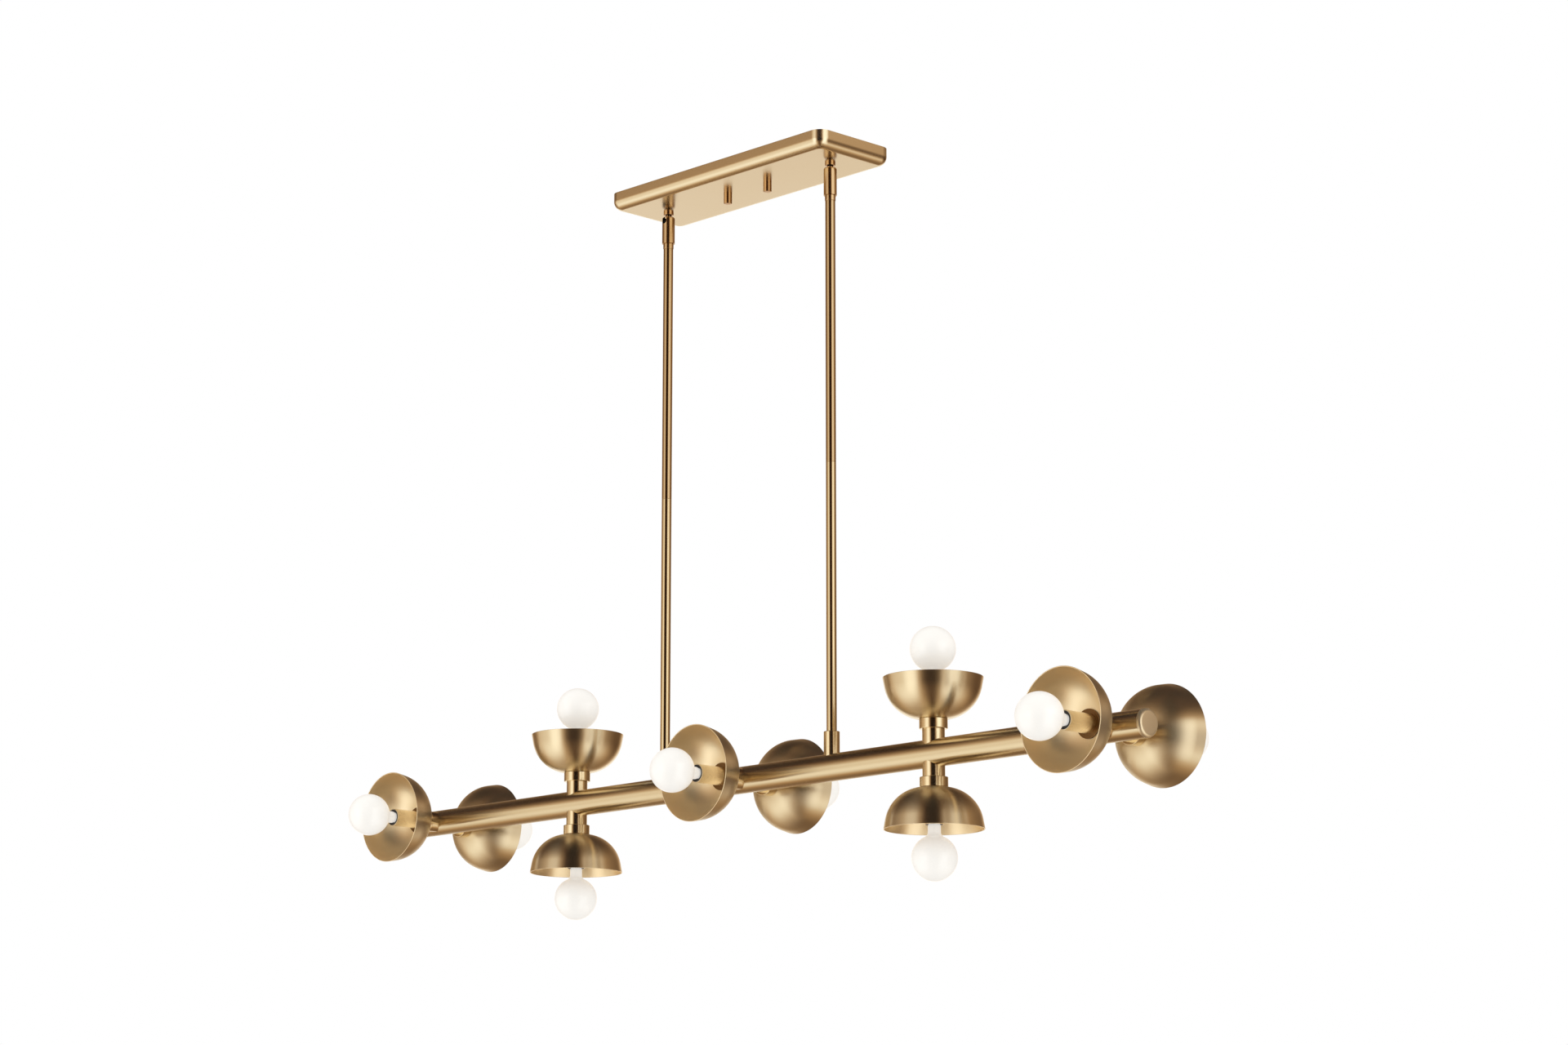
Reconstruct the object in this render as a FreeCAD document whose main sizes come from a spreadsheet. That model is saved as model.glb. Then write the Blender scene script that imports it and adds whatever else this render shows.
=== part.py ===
"""A linear ceiling light: ten lamps on one long tube that hangs from a ceiling plate on two jointed stems.

Millimetres. The origin is the middle of the ceiling plate where it meets the ceiling, +Z points up,
X runs along the tube, and -Y is the side that the front lamps face.
"""
import os
import re

import FreeCAD
import Part
import Sketcher

# Driving dimensions, one sheet cell each.
SIZES = {
    # Ceiling plate
    "canopy_length": 358.0,
    "canopy_width": 115.0,
    "canopy_height": 20.0,
    "canopy_corner": 14.0,
    "canopy_edge_round": 10.5,
    "canopy_wall": 1.2,
    # Mounting bar behind it, and what screws into the bar
    "bar_length": 132.0,
    "bar_width": 22.0,
    "bar_thickness": 2.0,
    "bar_corner": 5.0,
    "box_screw_spacing": 88.9,
    "box_slot_length": 12.0,
    "box_slot_width": 5.0,
    "stud_spacing": 67.0,
    "stud_radius": 2.0,
    "stud_below_canopy": 9.0,
    "stud_hole_play": 0.3,
    "nut_radius": 4.85,
    "nut_height": 11.2,
    "nut_edge_round": 0.8,
    "nut_bore_spare": 0.5,
    "ground_screw_place": 14.0,
    "ground_screw_radius": 1.9,
    "ground_screw_recess": 0.2,
    "ground_head_radius": 3.6,
    "ground_head_height": 2.2,
    "ground_head_chamfer": 0.8,
    # Ball swivels under the plate, set in from its ends
    "stem_inset": 42.0,
    "nipple_radius": 4.8,
    "nipple_above_floor": 10.8,
    "nipple_hole_play": 0.3,
    "washer_radius": 8.0,
    "washer_thickness": 1.2,
    "hex_nut_flats": 14.0,
    "hex_nut_height": 4.5,
    "flange_radius": 6.0,
    "flange_height": 3.0,
    "neck_root_radius": 4.6,
    "neck_root_height": 1.1,
    "neck_radius": 3.0,
    "ball_radius": 5.7,
    "ball_wire_bore": 1.9,
    "swivel_gap": 2.6,
    "ball_below_barrel_top": 6.0,
    "barrel_radius": 7.5,
    "barrel_length": 32.9,
    "barrel_shoulder": 2.3,
    "barrel_mouth": 5.1,
    "barrel_slot_width": 7.0,
    "barrel_slot_height": 8.0,
    "barrel_slot_below_top": 0.9,
    # Stems: two equal screwed sections each
    "adapter_radius": 6.15,
    "adapter_height": 6.5,
    "adapter_spigot": 8.0,
    "stem_radius": 5.75,
    "stem_wall": 1.0,
    "stem_section": 304.8,
    "stem_end_chamfer": 0.3,
    "coupler_reach": 10.0,
    "wire_bore": 3.5,
    "stem_collar_radius": 8.9,
    "stem_collar_height": 40.0,
    "stem_collar_chamfer": 0.6,
    # Main tube
    "tube_radius": 15.25,
    "tube_wall": 1.5,
    "tube_length": 1178.0,
    "cap_thickness": 5.0,
    "cap_plug": 8.0,
    "cap_edge_round": 4.0,
    "wire_hole": 4.2,
    # Lamp arms, measured out from the tube's centre line; the outer ones are set in from its ends
    "end_arm_inset": 43.0,
    "stub_radius": 12.25,
    "stub_wall": 1.6,
    "collar_radius": 15.4,
    "collar_start": 26.0,
    "collar_height": 11.0,
    "collar_floor": 3.0,
    "collar_chamfer": 0.6,
    "lamp_nipple_radius": 4.8,
    "lamp_nipple_bore": 3.6,
    "lamp_nipple_tail": 5.0,
    # Bowl shade
    "shade_radius": 54.5,
    "shade_depth": 45.0,
    "shade_round": 41.9,
    "shade_seat": 11.3,
    "shade_wall": 1.0,
    # Inside the bowl
    "lock_ring_radius": 15.5,
    "lock_ring_height": 2.0,
    "lock_ring_chamfer": 0.7,
    "sleeve_radius": 10.5,
    "sleeve_wall": 0.9,
    "sleeve_below_rim": 5.0,
    "holder_radius": 9.4,
    "holder_below_mouth": 5.0,
    "holder_nipple_socket": 5.2,
    "socket_radius": 6.3,
    "socket_wall": 0.6,
    "socket_below_holder": 1.0,
    "contact_radius": 2.6,
    "contact_height": 1.2,
    # Globe bulb on a 12 mm screw base
    "globe_radius": 25.0,
    "globe_beyond_rim": 31.0,
    "glass_wall": 1.0,
    "neck_glass_radius": 7.0,
    "neck_glass_round": 6.0,
    "neck_shoulder": 4.0,
    "base_radius": 5.95,
    "base_wall": 0.6,
    "base_floor": 1.2,
    "base_height": 17.0,
    "base_button_radius": 2.4,
    "base_button_height": 1.5,
    "base_glass_overlap": 5.0,
    "base_above_holder": 2.0,
    "contact_gap": 0.2,
    # Shared fits
    "screw_fit": 0.05,
    "cutter_overrun": 2.0,
}

# How far the arms between the middle and the ends stand, as a share of the way to the end arms.
ARM_SHARES = {
    "mid_arm_share": 0.5348,
}

# Places worked out from the driving dimensions. Depths count down from the ceiling.
WORKED_OUT = {
    "floor_inside": "canopy_height - canopy_wall",
    "washer_top": "floor_inside - washer_thickness",
    "hex_nut_top": "washer_top - hex_nut_height",
    "stem_spacing": "canopy_length - 2 * stem_inset",
    "flange_bottom": "canopy_height + flange_height",
    "barrel_top": "flange_bottom + swivel_gap",
    "ball_centre": "barrel_top + ball_below_barrel_top",
    "ball_seat": "ball_radius + screw_fit",
    "seat_rise": "sqrt(ball_seat ^ 2 - barrel_mouth ^ 2)",
    "barrel_bottom": "barrel_top + barrel_length",
    "stem_top": "barrel_bottom + adapter_height",
    "stem_joint": "stem_top + stem_section",
    "stem_bottom": "stem_joint + stem_section",
    "stem_bore": "stem_radius - stem_wall",
    "coupler_radius": "stem_bore - screw_fit",
    "tube_depth": "stem_bottom + stem_collar_height",
    "tube_bore": "tube_radius - tube_wall",
    "tube_end": "tube_length / 2",
    "end_arm_place": "tube_end - end_arm_inset",
    "mid_arm_place": "end_arm_place * mid_arm_share",
    # Along an arm, out from the tube's centre line
    "stub_bore": "stub_radius - stub_wall",
    "shade_back": "collar_start + collar_height",
    "stub_top": "shade_back - collar_floor",
    "lamp_nipple_hole": "lamp_nipple_radius + screw_fit",
    "shade_floor": "shade_back + shade_wall",
    "shade_rim": "shade_back + shade_depth",
    "shade_arc_centre": "shade_back + shade_round",
    "ring_top": "shade_floor + lock_ring_height",
    "sleeve_mouth": "shade_rim - sleeve_below_rim",
    "holder_top": "sleeve_mouth - holder_below_mouth",
    "socket_top": "holder_top - socket_below_holder",
    "base_top": "holder_top + base_above_holder",
    "base_bottom": "base_top - base_height",
    "button_bottom": "base_bottom - base_button_height",
    "contact_top": "button_bottom - contact_gap",
    "socket_floor": "contact_top - contact_height",
    "nipple_socket_top": "ring_top + holder_nipple_socket",
    "glass_stem_radius": "base_radius - base_wall - screw_fit",
    "glass_stem_bottom": "base_top - base_glass_overlap",
    "globe_centre": "shade_rim + globe_beyond_rim",
    # The outer wall of the bowl runs straight from the rim to where it touches the bowl's round
    "rim_run": "shade_radius - shade_seat",
    "rim_rise": "shade_depth - shade_round",
    "rim_reach": "sqrt(rim_run ^ 2 + rim_rise ^ 2)",
    "wall_lean": "acos(shade_round / rim_reach) - atan2(rim_rise; rim_run)",
    # The glass neck flares into the globe through a round that touches both
    "flare_centre_radius": "neck_glass_radius + neck_glass_round",
    "flare_reach": "globe_radius + neck_glass_round",
    "flare_drop": "sqrt(flare_reach ^ 2 - flare_centre_radius ^ 2)",
    "flare_centre": "globe_centre - flare_drop",
    "outer_share": "globe_radius / flare_reach",
    "inner_share": "(globe_radius - glass_wall) / flare_reach",
}

# Each lamp: where along the tube, and which way it faces.
LAMPS = {
    "left_front": ("-end_arm_place", "front"),
    "left_back": ("-end_arm_place", "back"),
    "left_up": ("-mid_arm_place", "up"),
    "left_down": ("-mid_arm_place", "down"),
    "centre_front": ("0", "front"),
    "centre_back": ("0", "back"),
    "right_up": ("mid_arm_place", "up"),
    "right_down": ("mid_arm_place", "down"),
    "right_front": ("end_arm_place", "front"),
    "right_back": ("end_arm_place", "back"),
}

AXIS_X = FreeCAD.Vector(1, 0, 0)
AXIS_Y = FreeCAD.Vector(0, 1, 0)
AXIS_Z = FreeCAD.Vector(0, 0, 1)

# Turns that point a piece, built standing on +Z, the way it faces.
TURNS = {
    "up": FreeCAD.Rotation(AXIS_X, 0),
    "down": FreeCAD.Rotation(AXIS_X, 180),
    "front": FreeCAD.Rotation(AXIS_X, 90),
    "back": FreeCAD.Rotation(AXIS_X, -90),
    "right": FreeCAD.Rotation(AXIS_Y, 90),
    "left": FreeCAD.Rotation(AXIS_Y, -90),
}

SIDES = {"left": "-", "right": ""}

doc = FreeCAD.newDocument("ceiling_light")
sheet = doc.addObject("Spreadsheet::Sheet", "Sizes")
for row, (alias, value) in enumerate({**SIZES, **ARM_SHARES}.items(), start=1):
    sheet.set(f"A{row}", alias)
    sheet.set(f"B{row}", str(value))
    sheet.setAlias(f"B{row}", alias)
doc.recompute()

nodes = {}


def formula(text):
    """Writes a size or a sum of sizes as an expression on the sheet's cells."""

    def swap(match):
        word = match.group(0)
        if word in WORKED_OUT:
            return "(" + formula(WORKED_OUT[word]) + ")"
        return f"Sizes.{word}" if word in SIZES or word in ARM_SHARES else word

    return re.sub(r"[a-z][a-z_]*", swap, text)


def measure(text):
    """The present value of a size or a sum of sizes."""
    return float(sheet.evalExpression(formula(text)))


def place(piece, facing="up", along="0", out="0", height="0"):
    """Turns a piece the way it faces and puts it at a place bound to the sheet."""
    piece.Placement = FreeCAD.Placement(FreeCAD.Vector(), TURNS[facing])
    for axis, text in (("x", along), ("y", out), ("z", height)):
        if text != "0":
            piece.setExpression(f"Placement.Base.{axis}", formula(text))
    return piece


def keep(name, piece):
    """Names a finished sub-part."""
    piece.Label = name
    nodes[name] = piece
    return piece


def arc_between(start, end, centre):
    """The shorter arc between two points about a centre, and whether it runs from start to end."""
    circle = Part.Circle(centre, AXIS_Z, (start - centre).Length)
    first, last = circle.parameter(start), circle.parameter(end)
    forward = (last - first) % (2 * circle.parameter(centre - AXIS_X)) < circle.parameter(centre - AXIS_X)
    if forward:
        return Part.ArcOfCircle(circle, first, last), True
    return Part.ArcOfCircle(circle, last, first), False


def turned(name, outline):
    """A body turned about +Z from a closed outline of (radius, height) points.

    A point may carry a centre, and then the stretch that leads to it is an arc about that centre.
    """
    body = doc.addObject("PartDesign::Body", name)
    sketch = body.newObject("Sketcher::SketchObject", name + "_outline")
    plane = next(item for item in body.Origin.OriginFeatures if item.Role == "XZ_Plane")
    sketch.AttachmentSupport = [(plane, "")]
    sketch.MapMode = "FlatFace"
    points = [FreeCAD.Vector(measure(point[0]), measure(point[1]), 0) for point in outline]
    ends = []
    for index, point in enumerate(points):
        following = (index + 1) % len(points)
        if len(outline[following]) == 4:
            centre = FreeCAD.Vector(measure(outline[following][2]), measure(outline[following][3]), 0)
            edge, forward = arc_between(point, points[following], centre)
        else:
            edge, forward = Part.LineSegment(point, points[following]), True
        sketch.addGeometry(edge, False)
        ends.append((1, 2) if forward else (2, 1))
    for index, (start, end) in enumerate(ends):
        following = (index + 1) % len(points)
        sketch.addConstraint(Sketcher.Constraint("Coincident", index, end, following, ends[following][0]))
        for kind, text, value in (
            ("DistanceX", outline[index][0], points[index].x),
            ("DistanceY", outline[index][1], points[index].y),
        ):
            number = sketch.addConstraint(Sketcher.Constraint(kind, -1, 1, index, start, value))
            sketch.setExpression(f"Constraints[{number}]", formula(text))
        if len(outline[following]) == 4:
            across, up = outline[following][2:]
            text = f"sqrt(({outline[index][0]} - ({across})) ^ 2 + ({outline[index][1]} - ({up})) ^ 2)"
            number = sketch.addConstraint(Sketcher.Constraint("Radius", index, measure(text)))
            sketch.setExpression(f"Constraints[{number}]", formula(text))
    turn = body.newObject("PartDesign::Revolution", name + "_turned")
    turn.Profile = sketch
    turn.ReferenceAxis = (sketch, ["V_Axis"])
    turn.Angle = 360
    return body


def cylinder(name, radius, height):
    """A plain cylinder standing on +Z."""
    piece = doc.addObject("Part::Cylinder", name)
    piece.setExpression("Radius", formula(radius))
    piece.setExpression("Height", formula(height))
    return piece


def through_cylinder(name, radius, length, along="0", out="0", height="0", facing="up"):
    """A cutter: a cylinder along Z, or along X if it faces right, with its middle at the given place."""
    if facing == "right":
        along = f"{along} - ({length}) / 2"
    else:
        height = f"{height} - ({length}) / 2"
    return place(cylinder(name, radius, length), facing, along, out, height)


def joined(name, pieces):
    """Several solids made one."""
    piece = doc.addObject("Part::MultiFuse", name)
    piece.Shapes = pieces
    return piece


def cut(name, base, tool):
    """One solid less another."""
    piece = doc.addObject("Part::Cut", name)
    piece.Base = base
    piece.Tool = tool
    return piece


def copies(name, form, places):
    """Separate copies of one form, kept as a group: each place is (facing, along, out, height)."""
    links = []
    for number, (facing, along, out, height) in enumerate(places, start=1):
        link = doc.addObject("App::Link", f"{name}_{number}")
        link.LinkedObject = form
        place(link, facing, along, out, height)
        links.append(link)
    group = doc.addObject("Part::Compound", name)
    group.Links = links
    return keep(name, group)


def rounded_block(name, length, width, height, corner):
    """A body: a block centred on the origin in plan, from height zero up, its upright edges rounded."""
    body = doc.addObject("PartDesign::Body", name)
    block = body.newObject("PartDesign::AdditiveBox", name + "_block")
    block.setExpression("Length", formula(length))
    block.setExpression("Width", formula(width))
    block.setExpression("Height", formula(height))
    block.setExpression("Placement.Base.x", formula(f"-{length} / 2"))
    block.setExpression("Placement.Base.y", formula(f"-{width} / 2"))
    doc.recompute()
    upright = [
        f"Edge{number}"
        for number, edge in enumerate(block.Shape.Edges, start=1)
        if edge.tangentAt(edge.FirstParameter).isParallel(AXIS_Z, Part.Precision.angular())
    ]
    corners = body.newObject("PartDesign::Fillet", name + "_corners")
    corners.Base = (block, upright)
    corners.setExpression("Radius", formula(corner))
    doc.recompute()
    return body, corners


def slot_cutter(name, length, width, depth, along):
    """A cutter for a slot with round ends, longest along X, standing on +Z."""
    middle = doc.addObject("Part::Box", name + "_middle")
    middle.setExpression("Length", formula(f"{length} - {width}"))
    middle.setExpression("Width", formula(width))
    middle.setExpression("Height", formula(depth))
    place(middle, "up", f"{along} - ({length} - {width}) / 2", f"-{width} / 2", "-cutter_overrun")
    ends = []
    for sign in "-+":
        end = cylinder(f"{name}_end_{len(ends) + 1}", f"{width} / 2", depth)
        ends.append(place(end, "up", f"{along} {sign} ({length} - {width}) / 2", "0", "-cutter_overrun"))
    return joined(name, [middle, *ends])


def level_with(shape, height):
    """Whether all of an edge's or a face's corners lie at one height."""
    level = measure(height)
    return all(abs(corner.Z - level) < Part.Precision.confusion() for corner in shape.Vertexes)


def ceiling_plate():
    """The pressed pan that covers the outlet box: rounded corners, a soft lower edge, open on top."""
    body, corners = rounded_block(
        "canopy_pan", "canopy_length", "canopy_width", "canopy_height", "canopy_corner"
    )
    lower = [
        f"Edge{number}"
        for number, edge in enumerate(corners.Shape.Edges, start=1)
        if level_with(edge, "canopy_height")
    ]
    soft_edge = body.newObject("PartDesign::Fillet", "canopy_soft_edge")
    soft_edge.Base = (corners, lower)
    soft_edge.setExpression("Radius", formula("canopy_edge_round"))
    doc.recompute()
    open_face = [
        f"Face{number}"
        for number, face in enumerate(soft_edge.Shape.Faces, start=1)
        if level_with(face, "0")
    ]
    shell = body.newObject("PartDesign::Thickness", "canopy_shell")
    shell.Base = (soft_edge, open_face)
    shell.setExpression("Value", formula("canopy_wall"))
    shell.Reversed = True
    reach = "canopy_wall + 2 * cutter_overrun"
    middle = "canopy_height - canopy_wall / 2"
    drills = []
    for side, sign in SIDES.items():
        drills.append(
            through_cylinder(
                f"canopy_stud_hole_{side}", "stud_radius + stud_hole_play", reach,
                f"{sign}stud_spacing / 2", "0", middle,
            )
        )
        drills.append(
            through_cylinder(
                f"canopy_swivel_hole_{side}", "nipple_radius + nipple_hole_play", reach,
                f"{sign}stem_spacing / 2", "0", middle,
            )
        )
    keep("canopy", place(cut("canopy_part", body, joined("canopy_holes", drills)), "down"))


def mounting_bar():
    """The steel strap that screws to the outlet box and carries the plate's two studs."""
    body, _ = rounded_block("bar_blank", "bar_length", "bar_width", "bar_thickness", "bar_corner")
    depth = "bar_thickness + 2 * cutter_overrun"
    drills = []
    for side, sign in SIDES.items():
        along = f"{sign}box_screw_spacing / 2"
        drills.append(slot_cutter(f"bar_slot_{side}", "box_slot_length", "box_slot_width", depth, along))
        drills.append(
            through_cylinder(
                f"bar_stud_hole_{side}", "stud_radius + screw_fit", depth,
                f"{sign}stud_spacing / 2", "0", "bar_thickness / 2",
            )
        )
    drills.append(
        through_cylinder(
            "bar_ground_hole", "ground_screw_radius + screw_fit", depth,
            "ground_screw_place", "0", "bar_thickness / 2",
        )
    )
    keep("mounting_bar", place(cut("bar_part", body, joined("bar_holes", drills)), "down"))


def bar_screws():
    """Two long studs that reach down through the plate, and the ground screw under the bar."""
    stud = turned(
        "stud_form",
        [
            ("0", "0"),
            ("stud_radius", "0"),
            ("stud_radius", "canopy_height + stud_below_canopy"),
            ("0", "canopy_height + stud_below_canopy"),
        ],
    )
    copies("canopy_studs", stud, [("down", f"{sign}stud_spacing / 2", "0", "0") for sign in SIDES.values()])
    head_bottom = "bar_thickness + ground_head_height"
    screw = turned(
        "ground_screw_part",
        [
            ("0", "ground_screw_recess"),
            ("ground_screw_radius", "ground_screw_recess"),
            ("ground_screw_radius", "bar_thickness"),
            ("ground_head_radius", "bar_thickness"),
            ("ground_head_radius", f"{head_bottom} - ground_head_chamfer"),
            ("ground_head_radius - ground_head_chamfer", head_bottom),
            ("0", head_bottom),
        ],
    )
    keep("ground_screw", place(screw, "down", "ground_screw_place"))


def canopy_nuts():
    """Smooth cap nuts that draw the plate up against the ceiling."""
    bottom = "canopy_height + nut_height"
    bore_end = "canopy_height + stud_below_canopy + nut_bore_spare"
    for side, sign in SIDES.items():
        nut = turned(
            f"canopy_nut_{side}_part",
            [
                ("stud_radius + screw_fit", "canopy_height"),
                ("nut_radius", "canopy_height"),
                ("nut_radius", f"{bottom} - nut_edge_round"),
                (
                    "nut_radius - nut_edge_round", bottom,
                    "nut_radius - nut_edge_round", f"{bottom} - nut_edge_round",
                ),
                ("0", bottom),
                ("0", bore_end),
                ("stud_radius + screw_fit", bore_end),
            ],
        )
        keep(f"canopy_nut_{side}", place(nut, "down", f"{sign}stud_spacing / 2"))


def stem_places():
    """The two stems' centre lines, for pieces measured down from the ceiling."""
    return [("down", f"{sign}stem_spacing / 2", "0", "0") for sign in SIDES.values()]


def swivels():
    """Hollow ball studs fixed through the plate, and the slotted barrels that hang on them."""
    for side, sign in SIDES.items():
        stud = turned(
            f"swivel_ball_{side}_part",
            [
                ("ball_wire_bore", "floor_inside - nipple_above_floor"),
                ("nipple_radius", "floor_inside - nipple_above_floor"),
                ("nipple_radius", "canopy_height"),
                ("flange_radius", "canopy_height"),
                ("flange_radius", "flange_bottom"),
                ("neck_root_radius", "flange_bottom"),
                ("neck_radius", "flange_bottom + neck_root_height"),
                ("neck_radius", "ball_centre - sqrt(ball_radius ^ 2 - neck_radius ^ 2)"),
                (
                    "ball_wire_bore", "ball_centre + sqrt(ball_radius ^ 2 - ball_wire_bore ^ 2)",
                    "0", "ball_centre",
                ),
            ],
        )
        keep(f"swivel_ball_{side}", place(stud, "down", f"{sign}stem_spacing / 2"))
        barrel = turned(
            f"swivel_barrel_{side}_turned",
            [
                ("barrel_mouth", "barrel_top"),
                ("barrel_radius - barrel_shoulder", "barrel_top"),
                (
                    "barrel_radius", "barrel_top + barrel_shoulder",
                    "barrel_radius - barrel_shoulder", "barrel_top + barrel_shoulder",
                ),
                ("barrel_radius", "barrel_bottom"),
                ("ball_seat", "barrel_bottom"),
                ("ball_seat", "ball_centre"),
                ("barrel_mouth", "ball_centre - seat_rise", "0", "ball_centre"),
            ],
        )
        window = barrel_window(side)
        part = cut(f"swivel_barrel_{side}_part", barrel, window)
        keep(f"swivel_barrel_{side}", place(part, "down", f"{sign}stem_spacing / 2"))
    washer = turned(
        "swivel_washer_form",
        [
            ("nipple_radius + nipple_hole_play", "washer_top"),
            ("washer_radius", "washer_top"),
            ("washer_radius", "floor_inside"),
            ("nipple_radius + nipple_hole_play", "floor_inside"),
        ],
    )
    copies("swivel_washers", washer, stem_places())
    copies("swivel_hex_nuts", swivel_hex_nut(), stem_places())


def barrel_window(side):
    """The opening in a barrel's wall; the left barrel's faces the front and the right one's the back."""
    facing = {"left": "front", "right": "back"}[side]
    radius = "barrel_slot_width / 2"
    top = "barrel_top + barrel_slot_below_top"
    levels = (f"{top} + {radius}", f"{top} + barrel_slot_height - {radius}")
    rounds = []
    for number, depth in enumerate(levels, start=1):
        end = cylinder(f"barrel_window_{side}_{number}", radius, "barrel_radius + cutter_overrun")
        rounds.append(place(end, "back" if facing == "front" else "front", "0", "0", depth))
    middle = doc.addObject("Part::Box", f"barrel_window_{side}_middle")
    middle.setExpression("Length", formula("barrel_slot_width"))
    middle.setExpression("Width", formula("barrel_radius + cutter_overrun"))
    middle.setExpression("Height", formula("barrel_slot_height - barrel_slot_width"))
    start = "0" if facing == "front" else "-(barrel_radius + cutter_overrun)"
    place(middle, "up", f"-{radius}", start, f"{top} + {radius}")
    return joined(f"barrel_window_{side}", [middle, *rounds])


def swivel_hex_nut():
    """The nut that clamps a ball stud to the plate."""
    nut = doc.addObject("Part::Prism", "swivel_hex_nut_blank")
    nut.Polygon = 6
    nut.setExpression("Circumradius", formula("hex_nut_flats / sqrt(3)"))
    nut.setExpression("Height", formula("hex_nut_height"))
    place(nut, "up", "0", "0", "hex_nut_top")
    bore = through_cylinder(
        "swivel_hex_nut_bore", "nipple_radius + screw_fit", "hex_nut_height + 2 * cutter_overrun",
        "0", "0", "hex_nut_top + hex_nut_height / 2",
    )
    return cut("swivel_hex_nut_form", nut, bore)


def stems():
    """Each stem: an adapter screwed into the barrel, two equal tube sections and a collar on the tube."""
    adapter_bottom = "stem_top + coupler_reach"
    adapter = turned(
        "stem_adapter_form",
        [
            ("wire_bore", "barrel_bottom - adapter_spigot"),
            ("ball_seat - screw_fit", "barrel_bottom - adapter_spigot"),
            ("ball_seat - screw_fit", "barrel_bottom"),
            ("adapter_radius", "barrel_bottom"),
            ("adapter_radius", "stem_top"),
            ("coupler_radius", "stem_top"),
            ("coupler_radius", adapter_bottom),
            ("wire_bore", adapter_bottom),
        ],
    )
    copies("stem_adapters", adapter, stem_places())
    for level, top in (("upper", "stem_top"), ("lower", "stem_joint")):
        for side, sign in SIDES.items():
            bottom = f"{top} + stem_section"
            section = turned(
                f"stem_{level}_{side}_part",
                [
                    ("stem_bore", top),
                    ("stem_radius - stem_end_chamfer", top),
                    ("stem_radius", f"{top} + stem_end_chamfer"),
                    ("stem_radius", f"{bottom} - stem_end_chamfer"),
                    ("stem_radius - stem_end_chamfer", bottom),
                    ("stem_bore", bottom),
                ],
            )
            keep(f"stem_{level}_{side}", place(section, "down", f"{sign}stem_spacing / 2"))
    coupler = turned(
        "stem_coupler_form",
        [
            ("wire_bore", "0"),
            ("coupler_radius", "0"),
            ("coupler_radius", "2 * coupler_reach"),
            ("wire_bore", "2 * coupler_reach"),
        ],
    )
    couplings = [
        ("down", f"{sign}stem_spacing / 2", "0", f"-({joint} - coupler_reach)")
        for sign in SIDES.values()
        for joint in ("stem_joint", "stem_bottom")
    ]
    copies("stem_couplers", coupler, couplings)
    for side, sign in SIDES.items():
        ring = turned(
            f"stem_collar_{side}_turned",
            [
                ("stem_bore", "0"),
                ("stem_collar_radius", "0"),
                ("stem_collar_radius", "stem_collar_height - stem_collar_chamfer"),
                ("stem_collar_radius - stem_collar_chamfer", "stem_collar_height"),
                ("stem_bore", "stem_collar_height"),
            ],
        )
        part = cut(f"stem_collar_{side}_part", ring, saddle_cutter(f"stem_collar_saddle_{side}"))
        keep(f"stem_collar_{side}", place(part, "up", f"{sign}stem_spacing / 2", "0", "-tube_depth"))


def saddle_cutter(name):
    """The main tube's outside, for pieces whose ends are shaped to sit on it."""
    return through_cylinder(name, "tube_radius", "4 * tube_radius", facing="right")


def main_tube():
    """The long hollow tube with its wire holes, and the two end caps."""
    outside = through_cylinder("tube_outside", "tube_radius", "tube_length", facing="right")
    bore = through_cylinder("tube_bore", "tube_bore", "tube_length + 2 * cutter_overrun", facing="right")
    holes = [bore]
    for lamp, (along, facing) in LAMPS.items():
        hole = cylinder(f"tube_hole_{lamp}", "wire_hole", "tube_radius + cutter_overrun")
        holes.append(place(hole, facing, along))
    for side, sign in SIDES.items():
        hole = cylinder(f"tube_hole_stem_{side}", "wire_hole", "tube_radius + cutter_overrun")
        holes.append(place(hole, "up", f"{sign}stem_spacing / 2"))
    tube = cut("main_tube_part", outside, joined("tube_holes", holes))
    keep("main_tube", place(tube, "up", "0", "0", "-tube_depth"))
    face = "tube_end + cap_thickness"
    for side in SIDES:
        cap = turned(
            f"end_cap_{side}_part",
            [
                ("0", "tube_end - cap_plug"),
                ("tube_bore - screw_fit", "tube_end - cap_plug"),
                ("tube_bore - screw_fit", "tube_end"),
                ("tube_radius", "tube_end"),
                ("tube_radius", f"{face} - cap_edge_round"),
                (
                    "tube_radius - cap_edge_round", face,
                    "tube_radius - cap_edge_round", f"{face} - cap_edge_round",
                ),
                ("0", face),
            ],
        )
        keep(f"end_cap_{side}", place(cap, side, "0", "0", "-tube_depth"))


def lamp_places():
    """Where the ten lamps stand on the tube and how they face."""
    return [(facing, along, "0", "-tube_depth") for along, facing in LAMPS.values()]


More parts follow.
